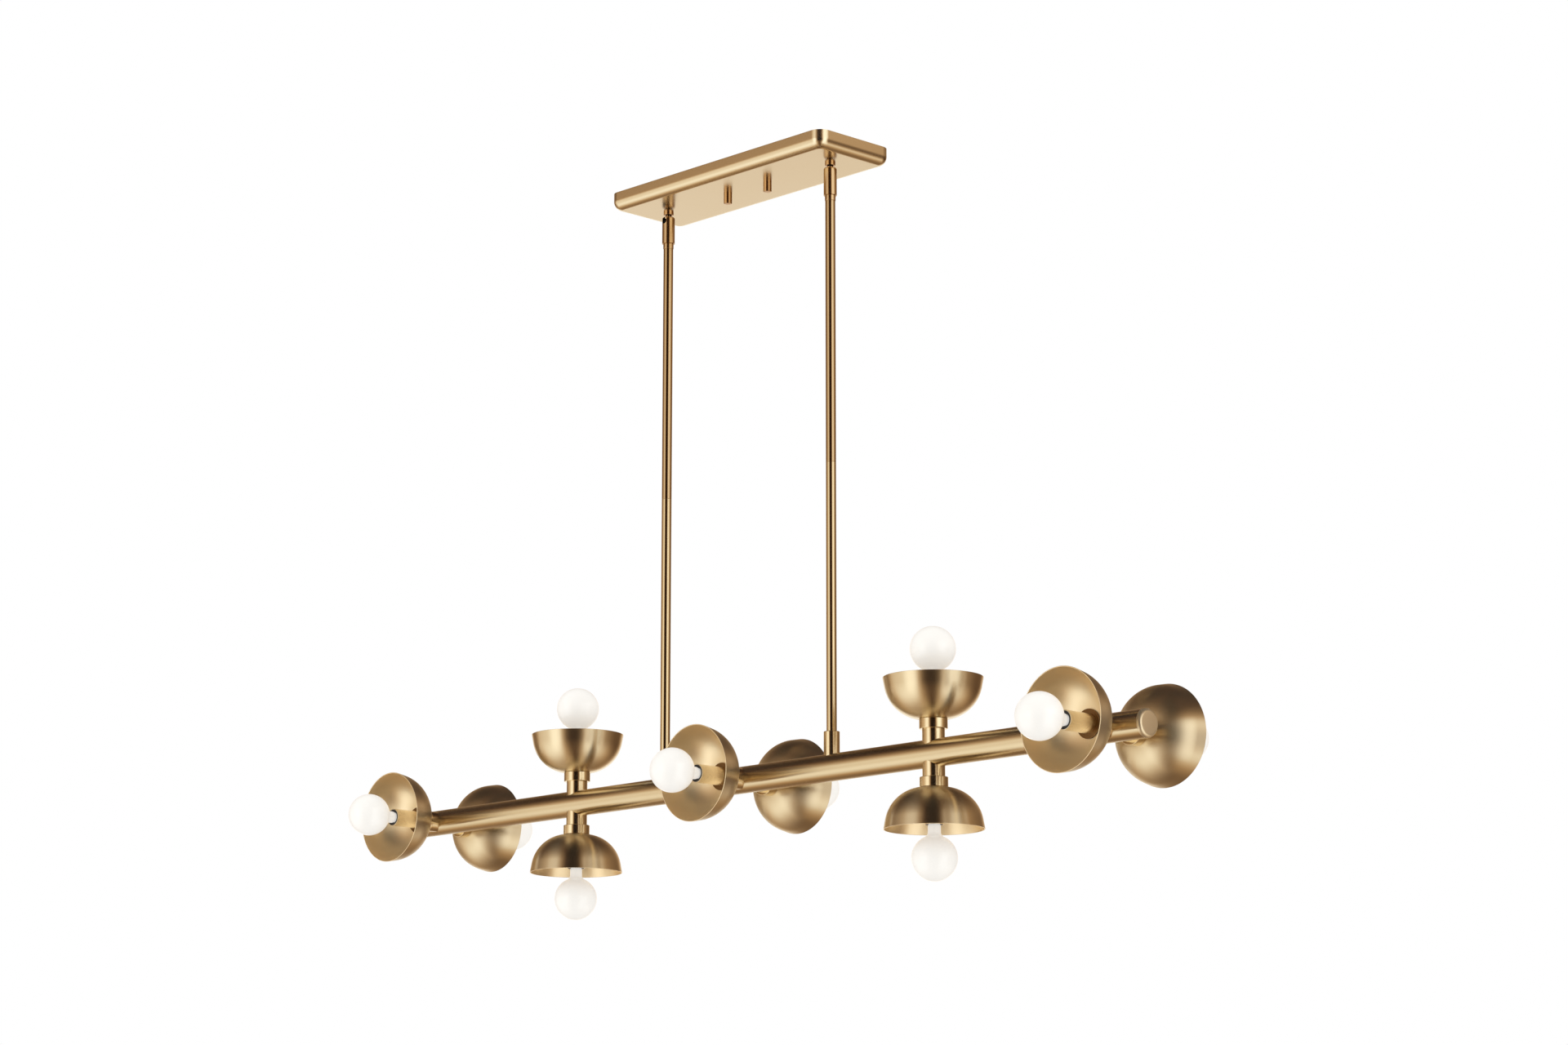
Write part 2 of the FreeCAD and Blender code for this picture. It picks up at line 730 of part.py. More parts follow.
def arms():
    """The stub, the collar and the hollow nipple of every lamp arm."""
    stub = turned(
        "arm_stub_turned",
        [("stub_bore", "0"), ("stub_radius", "0"), ("stub_radius", "stub_top"), ("stub_bore", "stub_top")],
    )
    copies("arm_stubs", cut("arm_stub_form", stub, saddle_cutter("arm_stub_saddle")), lamp_places())
    collar = turned(
        "arm_collar_form",
        [
            ("stub_radius + screw_fit", "collar_start"),
            ("collar_radius - collar_chamfer", "collar_start"),
            ("collar_radius", "collar_start + collar_chamfer"),
            ("collar_radius", "shade_back - collar_chamfer"),
            ("collar_radius - collar_chamfer", "shade_back"),
            ("lamp_nipple_hole", "shade_back"),
            ("lamp_nipple_hole", "stub_top"),
            ("stub_radius + screw_fit", "stub_top"),
        ],
    )
    copies("arm_collars", collar, lamp_places())
    nipple = turned(
        "lamp_nipple_form",
        [
            ("lamp_nipple_bore", "stub_top - lamp_nipple_tail"),
            ("lamp_nipple_radius", "stub_top - lamp_nipple_tail"),
            ("lamp_nipple_radius", "nipple_socket_top - screw_fit"),
            ("lamp_nipple_bore", "nipple_socket_top - screw_fit"),
        ],
    )
    copies("lamp_nipples", nipple, lamp_places())


def shades():
    """The spun bowls: a flat seat, one large round and a wall that leans out to the rim."""
    inner_round = "(shade_round - shade_wall)"
    touch = ("shade_seat + {0} * cos(wall_lean)", "shade_arc_centre - {0} * sin(wall_lean)")
    for lamp, (along, facing) in LAMPS.items():
        bowl = turned(
            f"shade_{lamp}_part",
            [
                ("lamp_nipple_hole", "shade_back"),
                ("shade_seat", "shade_back"),
                (
                    touch[0].format("shade_round"), touch[1].format("shade_round"),
                    "shade_seat", "shade_arc_centre",
                ),
                ("shade_radius", "shade_rim"),
                ("shade_radius - shade_wall / cos(wall_lean)", "shade_rim"),
                (touch[0].format(inner_round), touch[1].format(inner_round)),
                ("shade_seat", "shade_floor", "shade_seat", "shade_arc_centre"),
                ("lamp_nipple_hole", "shade_floor"),
            ],
        )
        keep(f"shade_{lamp}", place(bowl, facing, along, "0", "-tube_depth"))


def lampholders():
    """Inside each bowl: the lock ring, the brass sleeve, and the holder with its contacts."""
    ring = turned(
        "lock_ring_form",
        [
            ("lamp_nipple_hole", "shade_floor"),
            ("shade_seat", "shade_floor"),
            ("lock_ring_radius", "shade_floor + lock_ring_height / 2"),
            ("lock_ring_radius", "ring_top - lock_ring_chamfer"),
            ("lock_ring_radius - lock_ring_chamfer", "ring_top"),
            ("lamp_nipple_hole", "ring_top"),
        ],
    )
    copies("lock_rings", ring, lamp_places())
    sleeve = turned(
        "socket_sleeve_form",
        [
            ("sleeve_radius - sleeve_wall", "ring_top"),
            ("sleeve_radius", "ring_top"),
            ("sleeve_radius", "sleeve_mouth"),
            ("sleeve_radius - sleeve_wall", "sleeve_mouth"),
        ],
    )
    copies("socket_sleeves", sleeve, lamp_places())
    holder = turned(
        "lampholder_form",
        [
            ("lamp_nipple_hole", "ring_top"),
            ("holder_radius", "ring_top"),
            ("holder_radius", "holder_top"),
            ("socket_radius + socket_wall + screw_fit", "holder_top"),
            ("socket_radius + socket_wall + screw_fit", "socket_floor"),
            ("0", "socket_floor"),
            ("0", "nipple_socket_top"),
            ("lamp_nipple_hole", "nipple_socket_top"),
        ],
    )
    copies("lampholders", holder, lamp_places())
    shell = turned(
        "socket_shell_form",
        [
            ("socket_radius", "socket_floor"),
            ("socket_radius + socket_wall", "socket_floor"),
            ("socket_radius + socket_wall", "socket_top"),
            ("socket_radius", "socket_top"),
        ],
    )
    contact = turned(
        "socket_contact_form",
        [
            ("0", "socket_floor"),
            ("contact_radius", "socket_floor"),
            ("contact_radius", "contact_top"),
            ("0", "contact_top"),
        ],
    )
    pair = doc.addObject("Part::Compound", "socket_metal_form")
    pair.Links = [shell, contact]
    copies("socket_contacts", pair, lamp_places())


def bulbs():
    """Opal globes with a short flared neck, cemented into screw bases."""
    cone_top = "base_top + neck_shoulder"
    inner_neck = "neck_glass_radius - glass_wall"
    inner_stem = "glass_stem_radius - glass_wall"
    for lamp, (along, facing) in LAMPS.items():
        globe = turned(
            f"bulb_globe_{lamp}_part",
            [
                (inner_stem, "glass_stem_bottom"),
                ("glass_stem_radius", "glass_stem_bottom"),
                ("glass_stem_radius", "base_top"),
                ("neck_glass_radius", cone_top),
                ("neck_glass_radius", "flare_centre"),
                (
                    "flare_centre_radius * outer_share", "globe_centre - flare_drop * outer_share",
                    "flare_centre_radius", "flare_centre",
                ),
                ("0", "globe_centre + globe_radius", "0", "globe_centre"),
                ("0", "globe_centre + globe_radius - glass_wall"),
                (
                    "flare_centre_radius * inner_share", "globe_centre - flare_drop * inner_share",
                    "0", "globe_centre",
                ),
                (inner_neck, "flare_centre", "flare_centre_radius", "flare_centre"),
                (inner_neck, cone_top),
                (inner_stem, "base_top"),
            ],
        )
        keep(f"bulb_globe_{lamp}", place(globe, facing, along, "0", "-tube_depth"))
        base = turned(
            f"bulb_base_{lamp}_part",
            [
                ("0", "button_bottom"),
                ("base_button_radius", "button_bottom"),
                ("base_button_radius", "base_bottom"),
                ("base_radius", "base_bottom"),
                ("base_radius", "base_top"),
                ("base_radius - base_wall", "base_top"),
                ("base_radius - base_wall", "base_bottom + base_floor"),
                ("0", "base_bottom + base_floor"),
            ],
        )
        keep(f"bulb_base_{lamp}", place(base, facing, along, "0", "-tube_depth"))


def check_and_write():
    """Stops on any failed object or bad solid, then writes one file per sub-part."""
    doc.recompute()
    failed = [item.Name for item in doc.Objects if {"Invalid", "Error"} & set(item.State)]
    if failed:
        raise RuntimeError(f"objects that did not compute: {failed}")
    shapes = {name: Part.getShape(piece) for name, piece in nodes.items()}
    bad = [
        name
        for name, shape in shapes.items()
        if shape.isNull() or not shape.isValid() or not shape.Solids
    ]
    if bad:
        raise RuntimeError(f"sub-parts with no good solid: {bad}")
    os.makedirs("parts", exist_ok=True)
    for name, shape in shapes.items():
        shape.exportStep(f"parts/{name}.step")
    print(f"{len(shapes)} sub-parts, {sum(len(shape.Solids) for shape in shapes.values())} solids")


ceiling_plate()
mounting_bar()
bar_screws()
canopy_nuts()
swivels()
stems()
main_tube()
arms()
shades()
lampholders()
bulbs()
check_and_write()
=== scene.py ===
"""A linear ceiling light in satin brass: ten bowl shades on a long tube, hung on two jointed stems."""
import math

import bmesh
import bpy
from mathutils import Matrix, Vector


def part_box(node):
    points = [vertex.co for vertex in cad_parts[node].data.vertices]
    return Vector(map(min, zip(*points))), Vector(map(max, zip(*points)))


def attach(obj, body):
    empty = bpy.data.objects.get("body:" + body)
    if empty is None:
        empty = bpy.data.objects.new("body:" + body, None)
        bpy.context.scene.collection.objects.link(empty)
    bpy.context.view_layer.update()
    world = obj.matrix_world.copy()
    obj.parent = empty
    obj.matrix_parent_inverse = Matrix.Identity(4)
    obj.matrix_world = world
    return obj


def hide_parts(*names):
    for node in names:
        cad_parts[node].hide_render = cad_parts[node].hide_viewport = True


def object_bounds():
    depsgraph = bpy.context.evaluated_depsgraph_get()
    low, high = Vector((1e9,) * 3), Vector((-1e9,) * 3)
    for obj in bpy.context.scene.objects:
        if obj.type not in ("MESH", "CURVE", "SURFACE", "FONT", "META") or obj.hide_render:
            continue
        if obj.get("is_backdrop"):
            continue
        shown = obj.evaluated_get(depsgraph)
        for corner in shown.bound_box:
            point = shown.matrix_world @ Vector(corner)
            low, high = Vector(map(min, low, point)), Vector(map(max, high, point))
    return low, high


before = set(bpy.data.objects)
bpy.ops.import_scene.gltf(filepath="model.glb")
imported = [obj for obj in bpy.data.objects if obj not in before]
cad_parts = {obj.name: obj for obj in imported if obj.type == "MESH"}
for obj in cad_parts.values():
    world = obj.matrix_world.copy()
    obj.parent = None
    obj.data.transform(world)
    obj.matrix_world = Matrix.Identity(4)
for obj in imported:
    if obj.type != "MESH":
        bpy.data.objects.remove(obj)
cad_low, cad_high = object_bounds()

# Ceiling plate
# A shallow pan pressed from sheet brass, with round corners and a broad soft lower edge. It is brushed
# along its length and lacquered, and it hides the outlet box.
PLATE_WALL = 0.0012
PLATE_CORNER = 0.014
PLATE_CORNER_STEPS = 14
PLATE_EDGE_ROUND = 0.0105
PLATE_EDGE_STEPS = 12
SAME_LEVEL = 0.0001
PLATE_LINES = (6.0, 420.0, 420.0)
LINE_DETAIL = 4.0
LINE_COARSENESS = 0.62
LINE_DARK_LEVEL = 0.30
LINE_PALE_LEVEL = 0.70
LINE_DARKENING = (0.03, 0.04, 0.06)
LINE_DULLING = 0.07
LINE_STRENGTH = 0.06
LINE_DEPTH = 0.00002
CLOUD_SCALE = 14.0
CLOUD_DETAIL = 3.0
CLOUD_TONE = (0.98, 0.955, 0.91)
GLINT_TURN = 0.25
SHARP_ANGLE = 32.0
FLAT_FACE_WEIGHT = 100


def new_finish(name):
    """A new material, its nodes, the call that links two of them, and its surface shader."""
    material = bpy.data.materials.new(name)
    material.use_nodes = True
    nodes = material.node_tree.nodes
    return material, nodes, material.node_tree.links.new, nodes["Principled BSDF"]


def noise(nodes, link, place, scale, detail):
    """A noise node that reads a place on the piece."""
    pattern = nodes.new("ShaderNodeTexNoise")
    pattern.inputs["Scale"].default_value = scale
    pattern.inputs["Detail"].default_value = detail
    link(place, pattern.inputs["Vector"])
    return pattern


def ramp(nodes, stops):
    """A ramp node through (position, colour) stops."""
    colours = nodes.new("ShaderNodeValToRGB")
    elements = colours.color_ramp.elements
    elements.remove(elements[1])
    elements[0].position = stops[0][0]
    elements[0].color = (*stops[0][1], 1.0)
    for position, colour in stops[1:]:
        elements.new(position).color = (*colour, 1.0)
    return colours


def raise_grain(nodes, link, shader, pattern, strength, height):
    """Gives the surface the fine relief of a noise node."""
    relief = nodes.new("ShaderNodeBump")
    relief.inputs["Strength"].default_value = strength
    relief.inputs["Distance"].default_value = height
    link(pattern.outputs["Fac"], relief.inputs["Height"])
    link(relief.outputs["Normal"], shader.inputs["Normal"])


def brushed_brass(name, tone, roughness, lines, anisotropy=0.0, depth=1.0, bare=1.0):
    """Satin brass whose brush lines run along the axis with the small number in lines.

    Depth is the strength of the lines, and bare the share of metal that shines through the lacquer."""
    material, nodes, link, shader = new_finish(name)
    shader.inputs["Metallic"].default_value = bare
    shader.inputs["Anisotropic"].default_value = anisotropy
    shader.inputs["Anisotropic Rotation"].default_value = GLINT_TURN

    place = nodes.new("ShaderNodeTexCoord").outputs["Object"]
    spread = nodes.new("ShaderNodeMapping")
    spread.name = "brush spread"
    spread.inputs["Scale"].default_value = lines
    link(place, spread.inputs["Vector"])
    grain = noise(nodes, link, spread.outputs["Vector"], scale=1.0, detail=LINE_DETAIL)
    grain.inputs["Roughness"].default_value = LINE_COARSENESS
    cloud = noise(nodes, link, place, CLOUD_SCALE, CLOUD_DETAIL)

    line_tone = [part * (1 - share * depth) for part, share in zip(tone, LINE_DARKENING)]
    colour = ramp(nodes, ((LINE_DARK_LEVEL, line_tone), (LINE_PALE_LEVEL, tone)))
    link(grain.outputs["Fac"], colour.inputs["Fac"])
    warmth = nodes.new("ShaderNodeMixRGB")
    warmth.blend_type = "MULTIPLY"
    warmth.inputs["Color2"].default_value = (*CLOUD_TONE, 1.0)
    link(cloud.outputs["Fac"], warmth.inputs["Fac"])
    link(colour.outputs["Color"], warmth.inputs["Color1"])
    link(warmth.outputs["Color"], shader.inputs["Base Color"])

    gloss = nodes.new("ShaderNodeMapRange")
    gloss.inputs["From Min"].default_value = LINE_DARK_LEVEL
    gloss.inputs["From Max"].default_value = LINE_PALE_LEVEL
    gloss.inputs["To Min"].default_value = roughness * (1 - LINE_DULLING * depth)
    gloss.inputs["To Max"].default_value = roughness * (1 + LINE_DULLING * depth)
    link(grain.outputs["Fac"], gloss.inputs["Value"])
    link(gloss.outputs["Result"], shader.inputs["Roughness"])
    raise_grain(nodes, link, shader, grain, LINE_STRENGTH * depth, LINE_DEPTH)
    return material


def round_off(bench, corners, size, steps, kind="EDGES"):
    """Rounds edges of a mesh, or points of an outline where kind is VERTICES."""
    bmesh.ops.bevel(
        bench, geom=corners, offset=size, offset_type="OFFSET", segments=steps, profile=0.5,
        affect=kind, material=-1,
    )


def dress(name, mesh, material, slot, body, *nodes):
    """Puts a finished mesh in place of its CAD nodes. Flat faces stay flat beside their rounds."""
    mesh.name = name
    mesh.materials.append(material)
    mesh.shade_smooth()
    mesh.set_sharp_from_angle(angle=math.radians(SHARP_ANGLE))
    piece = bpy.data.objects.new(name, mesh)
    bpy.context.scene.collection.objects.link(piece)
    steady = piece.modifiers.new("flat faces stay flat", "WEIGHTED_NORMAL")
    steady.weight = FLAT_FACE_WEIGHT
    steady.keep_sharp = True
    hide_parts(*nodes)
    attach(piece, body)


plate_brass = brushed_brass(
    "plate brass", tone=(0.86, 0.742, 0.52), roughness=0.22, lines=PLATE_LINES, depth=0.35,
)
plate_low, plate_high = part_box("canopy")
plate_size = plate_high - plate_low
plate = bmesh.new()
bmesh.ops.create_cube(plate, size=1.0)
bmesh.ops.scale(plate, vec=plate_size, verts=plate.verts)
bmesh.ops.translate(plate, vec=(plate_low + plate_high) / 2, verts=plate.verts)
upright = [edge for edge in plate.edges if abs(edge.verts[0].co.z - edge.verts[1].co.z) > SAME_LEVEL]
round_off(plate, upright, PLATE_CORNER, PLATE_CORNER_STEPS)
lower = [edge for edge in plate.edges if all(v.co.z < plate_low.z + SAME_LEVEL for v in edge.verts)]
round_off(plate, lower, PLATE_EDGE_ROUND, PLATE_EDGE_STEPS)
ceiling_side = [face for face in plate.faces if face.calc_center_median().z > plate_high.z - SAME_LEVEL]
bmesh.ops.delete(plate, geom=ceiling_side, context="FACES_ONLY")
bmesh.ops.recalc_face_normals(plate, faces=plate.faces)
bmesh.ops.solidify(plate, geom=plate.faces[:], thickness=PLATE_WALL)
plate_mesh = bpy.data.meshes.new("ceiling_plate")
plate.to_mesh(plate_mesh)
plate.free()
dress("ceiling_plate", plate_mesh, plate_brass, "plate_brass", "ceiling", "canopy")

# Mounting bar and its screws
# A zinc plated steel strap that screws to the outlet box, with two long threaded studs for the plate
# and a green ground screw. They hide in the plate and show only from the ceiling's side.
BLOOM_SCALE = 260.0
BLOOM_DETAIL = 5.0
BLOOM_SHADE = (0.82, 0.83, 0.84)
BLOOM_GLOSS = (0.8, 1.2)


def mottled_finish(name, scale, detail, dark, light):
    """What new_finish gives, with a colour that drifts between two tones, and the noise node of that."""
    material, nodes, link, shader = new_finish(name)
    drift = noise(nodes, link, nodes.new("ShaderNodeTexCoord").outputs["Object"], scale, detail)
    colour = ramp(nodes, ((0.0, dark), (1.0, light)))
    link(drift.outputs["Fac"], colour.inputs["Fac"])
    link(colour.outputs["Color"], shader.inputs["Base Color"])
    return material, nodes, link, shader, drift


def plated_steel(name, tone, roughness):
    """Plating with faint mottling in tone and gloss where the bath left its bloom."""
    dark = [part * share for part, share in zip(tone, BLOOM_SHADE)]
    material, nodes, link, shader, bloom = mottled_finish(name, BLOOM_SCALE, BLOOM_DETAIL, dark, tone)
    shader.inputs["Metallic"].default_value = 1.0
    gloss = nodes.new("ShaderNodeMapRange")
    gloss.inputs["To Min"].default_value = roughness * BLOOM_GLOSS[0]
    gloss.inputs["To Max"].default_value = roughness * BLOOM_GLOSS[1]
    link(bloom.outputs["Fac"], gloss.inputs["Value"])
    link(gloss.outputs["Result"], shader.inputs["Roughness"])
    return material


def refinish(node, material):
    """Gives a CAD node that stays in view its own finish."""
    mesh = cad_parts[node].data
    mesh.materials.clear()
    mesh.materials.append(material)


zinc = plated_steel("zinc plated steel", tone=(0.62, 0.63, 0.65), roughness=0.38)
green_zinc = plated_steel("green passivated steel", tone=(0.06, 0.33, 0.13), roughness=0.42)
for node in ("mounting_bar", "canopy_studs", "swivel_washers"):
    refinish(node, zinc)
refinish("ground_screw", green_zinc)

# Plate nuts
# Two smooth round cap nuts, turned from brass rod and burnished a little redder than the plate. Each
# screws onto a stud by its blind hole and draws the plate up against the ceiling.
NUT_EDGE_ROUND = 0.0008
NUT_BORE = 0.00205
NUT_BORE_DEPTH = 0.0095
EDGE_STEPS = 4
SMALL_TURN_STEPS = 64
TURN_STEPS = 96
SAME_POINT = 1e-7
HALF_TURN_SHARE = 0.5
LATHE_MARKS = 2600.0


def turned_form(outline, steps=TURN_STEPS, closed=True):
    """Turns an outline about Z. Each point is (radius, height) or (radius, height, round of the edge).

    The first point is never rounded. The surface is unwrapped round the turn and along the outline."""
    bench = bmesh.new()
    travel = bench.verts.layers.float.new("travel")
    corners = [bench.verts.new((point[0], 0.0, point[1])) for point in outline]
    for start, end in zip(corners, corners[1:]):
        bench.edges.new((start, end))
    if closed:
        bench.edges.new((corners[-1], corners[0]))
    for corner, point in zip(corners, outline):
        if len(point) == 3:
            round_off(bench, [corner], point[2], EDGE_STEPS, "VERTICES")
    here = corners[0]
    walked = {here}
    ahead = [here]
    while ahead:
        following = ahead[0]
        following[travel] = here[travel] + (following.co - here.co).length
        walked.add(following)
        here = following
        neighbours = [edge.other_vert(here) for edge in here.link_edges]
        ahead = [corner for corner in neighbours if corner not in walked]
    bmesh.ops.spin(
        bench, geom=bench.verts[:] + bench.edges[:], cent=(0, 0, 0), axis=(0, 0, 1), dvec=(0, 0, 0),
        angle=2 * math.pi, steps=steps, use_merge=True, use_normal_flip=False, use_duplicate=False,
    )
    bmesh.ops.remove_doubles(bench, verts=bench.verts, dist=SAME_POINT)
    bmesh.ops.recalc_face_normals(bench, faces=bench.faces)
    unwrapped = bench.loops.layers.uv.new("turned")
    for face in bench.faces:
        off_axis = [loop for loop in face.loops if loop.vert.co.xy.length > SAME_POINT]
        shares = [math.atan2(loop.vert.co.y, loop.vert.co.x) / (2 * math.pi) for loop in off_axis]
        if max(shares) - min(shares) > HALF_TURN_SHARE:
            shares = [share + 1.0 if share < 0 else share for share in shares]
        for loop in face.loops:
            share = shares[off_axis.index(loop)] if loop in off_axis else sum(shares) / len(shares)
            loop[unwrapped].uv = (share, loop.vert[travel])
    form = bpy.data.meshes.new("turned form")
    bench.to_mesh(form)
    bench.free()
    return form


def copies_of(form, places):
    """One mesh with a copy of a turned form at each place."""
    bench = bmesh.new()
    for place in places:
        first = len(bench.verts)
        bench.from_mesh(form)
        bench.verts.ensure_lookup_table()
        bmesh.ops.transform(bench, matrix=place, verts=bench.verts[first:])
    mesh = bpy.data.meshes.new("copies")
    bench.to_mesh(mesh)
    bench.free()
    return mesh


def times(nodes, link, value, factor):
    """The output of a value times a factor."""
    product = nodes.new("ShaderNodeMath")
    product.operation = "MULTIPLY"
    product.inputs[1].default_value = factor
    link(value, product.inputs[0])
    return product.outputs["Value"]


def turned_brass(name, tone, roughness, anisotropy, marks=LATHE_MARKS, depth=1.0, bare=1.0):
    """Brass finished in the lathe: fine marks run round the piece and draw highlights out across them.

    Marks is how close they stand along the outline, and the rest is as in brushed_brass."""
    material = brushed_brass(
        name, tone, roughness, lines=(1.0, 1.0, 1.0), anisotropy=anisotropy, depth=depth, bare=bare,
    )
    nodes = material.node_tree.nodes
    link = material.node_tree.links.new
    unwrapped = nodes.new("ShaderNodeUVMap")
    unwrapped.uv_map = "turned"
    parts = nodes.new("ShaderNodeSeparateXYZ")
    link(unwrapped.outputs["UV"], parts.inputs["Vector"])
    turn = times(nodes, link, parts.outputs["X"], 2 * math.pi)
    round_piece = nodes.new("ShaderNodeCombineXYZ")
    for function, axis in (("COSINE", "X"), ("SINE", "Y")):
        wave = nodes.new("ShaderNodeMath")
        wave.operation = function
        link(turn, wave.inputs[0])
        link(wave.outputs["Value"], round_piece.inputs[axis])
    link(times(nodes, link, parts.outputs["Y"], marks), round_piece.inputs["Z"])
    link(round_piece.outputs["Vector"], nodes["brush spread"].inputs["Vector"])
    lathe_marks = nodes.new("ShaderNodeTangent")
    lathe_marks.direction_type = "UV_MAP"
    lathe_marks.uv_map = "turned"
    link(lathe_marks.outputs["Tangent"], nodes["Principled BSDF"].inputs["Tangent"])
    return material


rod_brass = turned_brass(
    "turned brass", tone=(0.85, 0.705, 0.455), roughness=0.20, anisotropy=0.55, depth=0.6,
)
nut_brass = turned_brass(
    "burnished brass", tone=(0.58, 0.37, 0.19), roughness=0.17, anisotropy=0.55, depth=0.6,
)
under_plate = plate_low.z
for side in ("left", "right"):
    low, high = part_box(f"canopy_nut_{side}")
    radius = (high.x - low.x) / 2
    height = high.z - low.z
    nut = [
        (NUT_BORE, 0.0),
        (radius, 0.0),
        (radius, -height, NUT_EDGE_ROUND),
        (0.0, -height),
        (0.0, -NUT_BORE_DEPTH),
        (NUT_BORE, -NUT_BORE_DEPTH),
    ]
    place = Matrix.Translation(((low.x + high.x) / 2, 0.0, under_plate))
    mesh = copies_of(turned_form(nut, SMALL_TURN_STEPS), [place])
    dress(f"plate_nut_{side}", mesh, nut_brass, "rod_brass", f"canopy_nut_{side}", f"canopy_nut_{side}")

# Ball swivels
# A hollow turned stud is clamped through the plate by a washer and a hex nut, and under a thin neck it
# ends in a ball. The barrel hangs on that ball and swings, so the frame finds its own level. The inside
# of the barrel and the part of the ball within it are painted near black, as painted shade in the
# barrel's window.
STUD_SHANK = 0.0048
STUD_FLANGE = 0.006
FLANGE_HEIGHT = 0.003
FLANGE_EDGE_ROUND = 0.0004
NECK_ROOT = 0.0046
NECK_ROOT_HEIGHT = 0.0011
NECK = 0.003
BALL = 0.0057
BALL_BORE = 0.0019
BALL_STEPS = 24
LOOSE_POINTS = 1e-6
BARREL_LINES = (90.0, 90.0, 2600.0)


def arc(middle, radius, start, end, steps):
    """Points of an arc in an outline, from one angle to another; zero points outwards and 90 up."""
    angles = [math.radians(start + (end - start) * step / steps) for step in range(steps + 1)]
    return [(middle[0] + radius * math.cos(a), middle[1] + radius * math.sin(a)) for a in angles]


# Painted shade: a near-black finish for the inside of each barrel and the part of the ball within it, so
# the barrel's window shows dark.
shade_black = plated_steel("blackened steel", tone=(0.03, 0.026, 0.022), roughness=0.5)
barrel_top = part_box("swivel_barrel_left")[1].z
stem_places = []
for side in ("left", "right"):
    low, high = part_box(f"swivel_ball_{side}")
    axis = (low.x + high.x) / 2
    stem_places.append(Matrix.Translation((axis, 0.0, 0.0)))
    ball_height = low.z + math.sqrt(BALL ** 2 - BALL_BORE ** 2)
    neck_foot = math.degrees(math.acos(NECK / BALL))
    ball_foot = -math.degrees(math.acos(BALL_BORE / BALL))
    flange_foot = under_plate - FLANGE_HEIGHT
    stud = [
        (BALL_BORE, high.z),
        (STUD_SHANK, high.z),
        (STUD_SHANK, under_plate),
        (STUD_FLANGE, under_plate),
        (STUD_FLANGE, flange_foot, FLANGE_EDGE_ROUND),
        (NECK_ROOT, flange_foot),
        (NECK, flange_foot - NECK_ROOT_HEIGHT, NECK_ROOT_HEIGHT / 2),
        *arc((0.0, ball_height), BALL, neck_foot, ball_foot, BALL_STEPS),
    ]
    mesh = copies_of(turned_form(stud, SMALL_TURN_STEPS), [stem_places[-1]])
    dress(f"ball_stud_{side}", mesh, nut_brass, "rod_brass", "ceiling", f"swivel_ball_{side}")
    mesh.materials.append(shade_black)
    # Faces below the barrel's top, on the ball inside it, take the painted shade black.
    for face in mesh.polygons:
        face.material_index = int(face.center.z < barrel_top)


def joined_copy(node):
    """A copy of a CAD node with its loose triangles joined, to keep the cut-outs of the CAD."""
    bench = bmesh.new()
    bench.from_mesh(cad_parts[node].data)
    bmesh.ops.remove_doubles(bench, verts=bench.verts, dist=LOOSE_POINTS)
    mesh = bpy.data.meshes.new("joined copy")
    bench.to_mesh(mesh)
    bench.free()
    return mesh


barrel_brass = brushed_brass(
    "barrel brass", tone=(0.64, 0.455, 0.255), roughness=0.16, lines=BARREL_LINES,
)
for side, place in zip(("left", "right"), stem_places):
    barrel = f"swivel_barrel_{side}"
    mesh = joined_copy(barrel)
    dress(f"swivel_sleeve_{side}", mesh, barrel_brass, "rod_brass", "hanging_frame", barrel)
    mesh.materials.append(shade_black)
    # Faces that look into the barrel take the painted shade black.
    for face in mesh.polygons:
        off_axis = face.center - place.translation
        face.material_index = int(off_axis.xy.dot(face.normal.xy) < 0)
refinish("swivel_hex_nuts", barrel_brass)

# Stems
# Each stem is a short adapter screwed into the barrel, two equal tubes joined end to end on a hidden
# coupler, and a thicker collar whose foot is shaped to sit on the main tube. The upper tubes are a
# shade darker and redder than the lower ones.
STEM_WALL = 0.001
STEM_END_ROUND = 0.0003
ADAPTER_EDGE_ROUND = 0.0005
ADAPTER_RADIUS = 0.00615
ADAPTER_BORE = 0.0035
COLLAR_EDGE_ROUND = 0.0006
stem_finishes = {
    "upper": turned_brass(
        "upper stem brass", tone=(0.58, 0.425, 0.24), roughness=0.15, anisotropy=0.85, depth=0.1,
    ),
    "lower": turned_brass(
        "lower stem brass", tone=(0.70, 0.56, 0.34), roughness=0.15, anisotropy=0.85, depth=0.1,
    ),
}
for level, finish in stem_finishes.items():
    for side, place in zip(("left", "right"), stem_places):
        section = f"stem_{level}_{side}"
        low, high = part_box(section)
        radius = (high.x - low.x) / 2
        stem_bore = radius - STEM_WALL
        tube = [
            (stem_bore, high.z),
            (radius, high.z, STEM_END_ROUND),
            (radius, low.z, STEM_END_ROUND),
            (stem_bore, low.z),
        ]
        mesh = copies_of(turned_form(tube, SMALL_TURN_STEPS), [place])
        dress(f"stem_tube_{level}_{side}", mesh, finish, "rod_brass", "hanging_frame", section)
barrel_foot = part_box("swivel_barrel_left")[0].z
stem_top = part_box("stem_upper_left")[1].z
adapter = [
    (ADAPTER_BORE, barrel_foot),
    (ADAPTER_RADIUS, barrel_foot, ADAPTER_EDGE_ROUND),
    (ADAPTER_RADIUS, stem_top, ADAPTER_EDGE_ROUND),
    (ADAPTER_BORE, stem_top),
]
mesh = copies_of(turned_form(adapter, SMALL_TURN_STEPS), stem_places)
dress("stem_adapter_pair", mesh, barrel_brass, "rod_brass", "hanging_frame", "stem_adapters")
refinish("stem_couplers", barrel_brass)

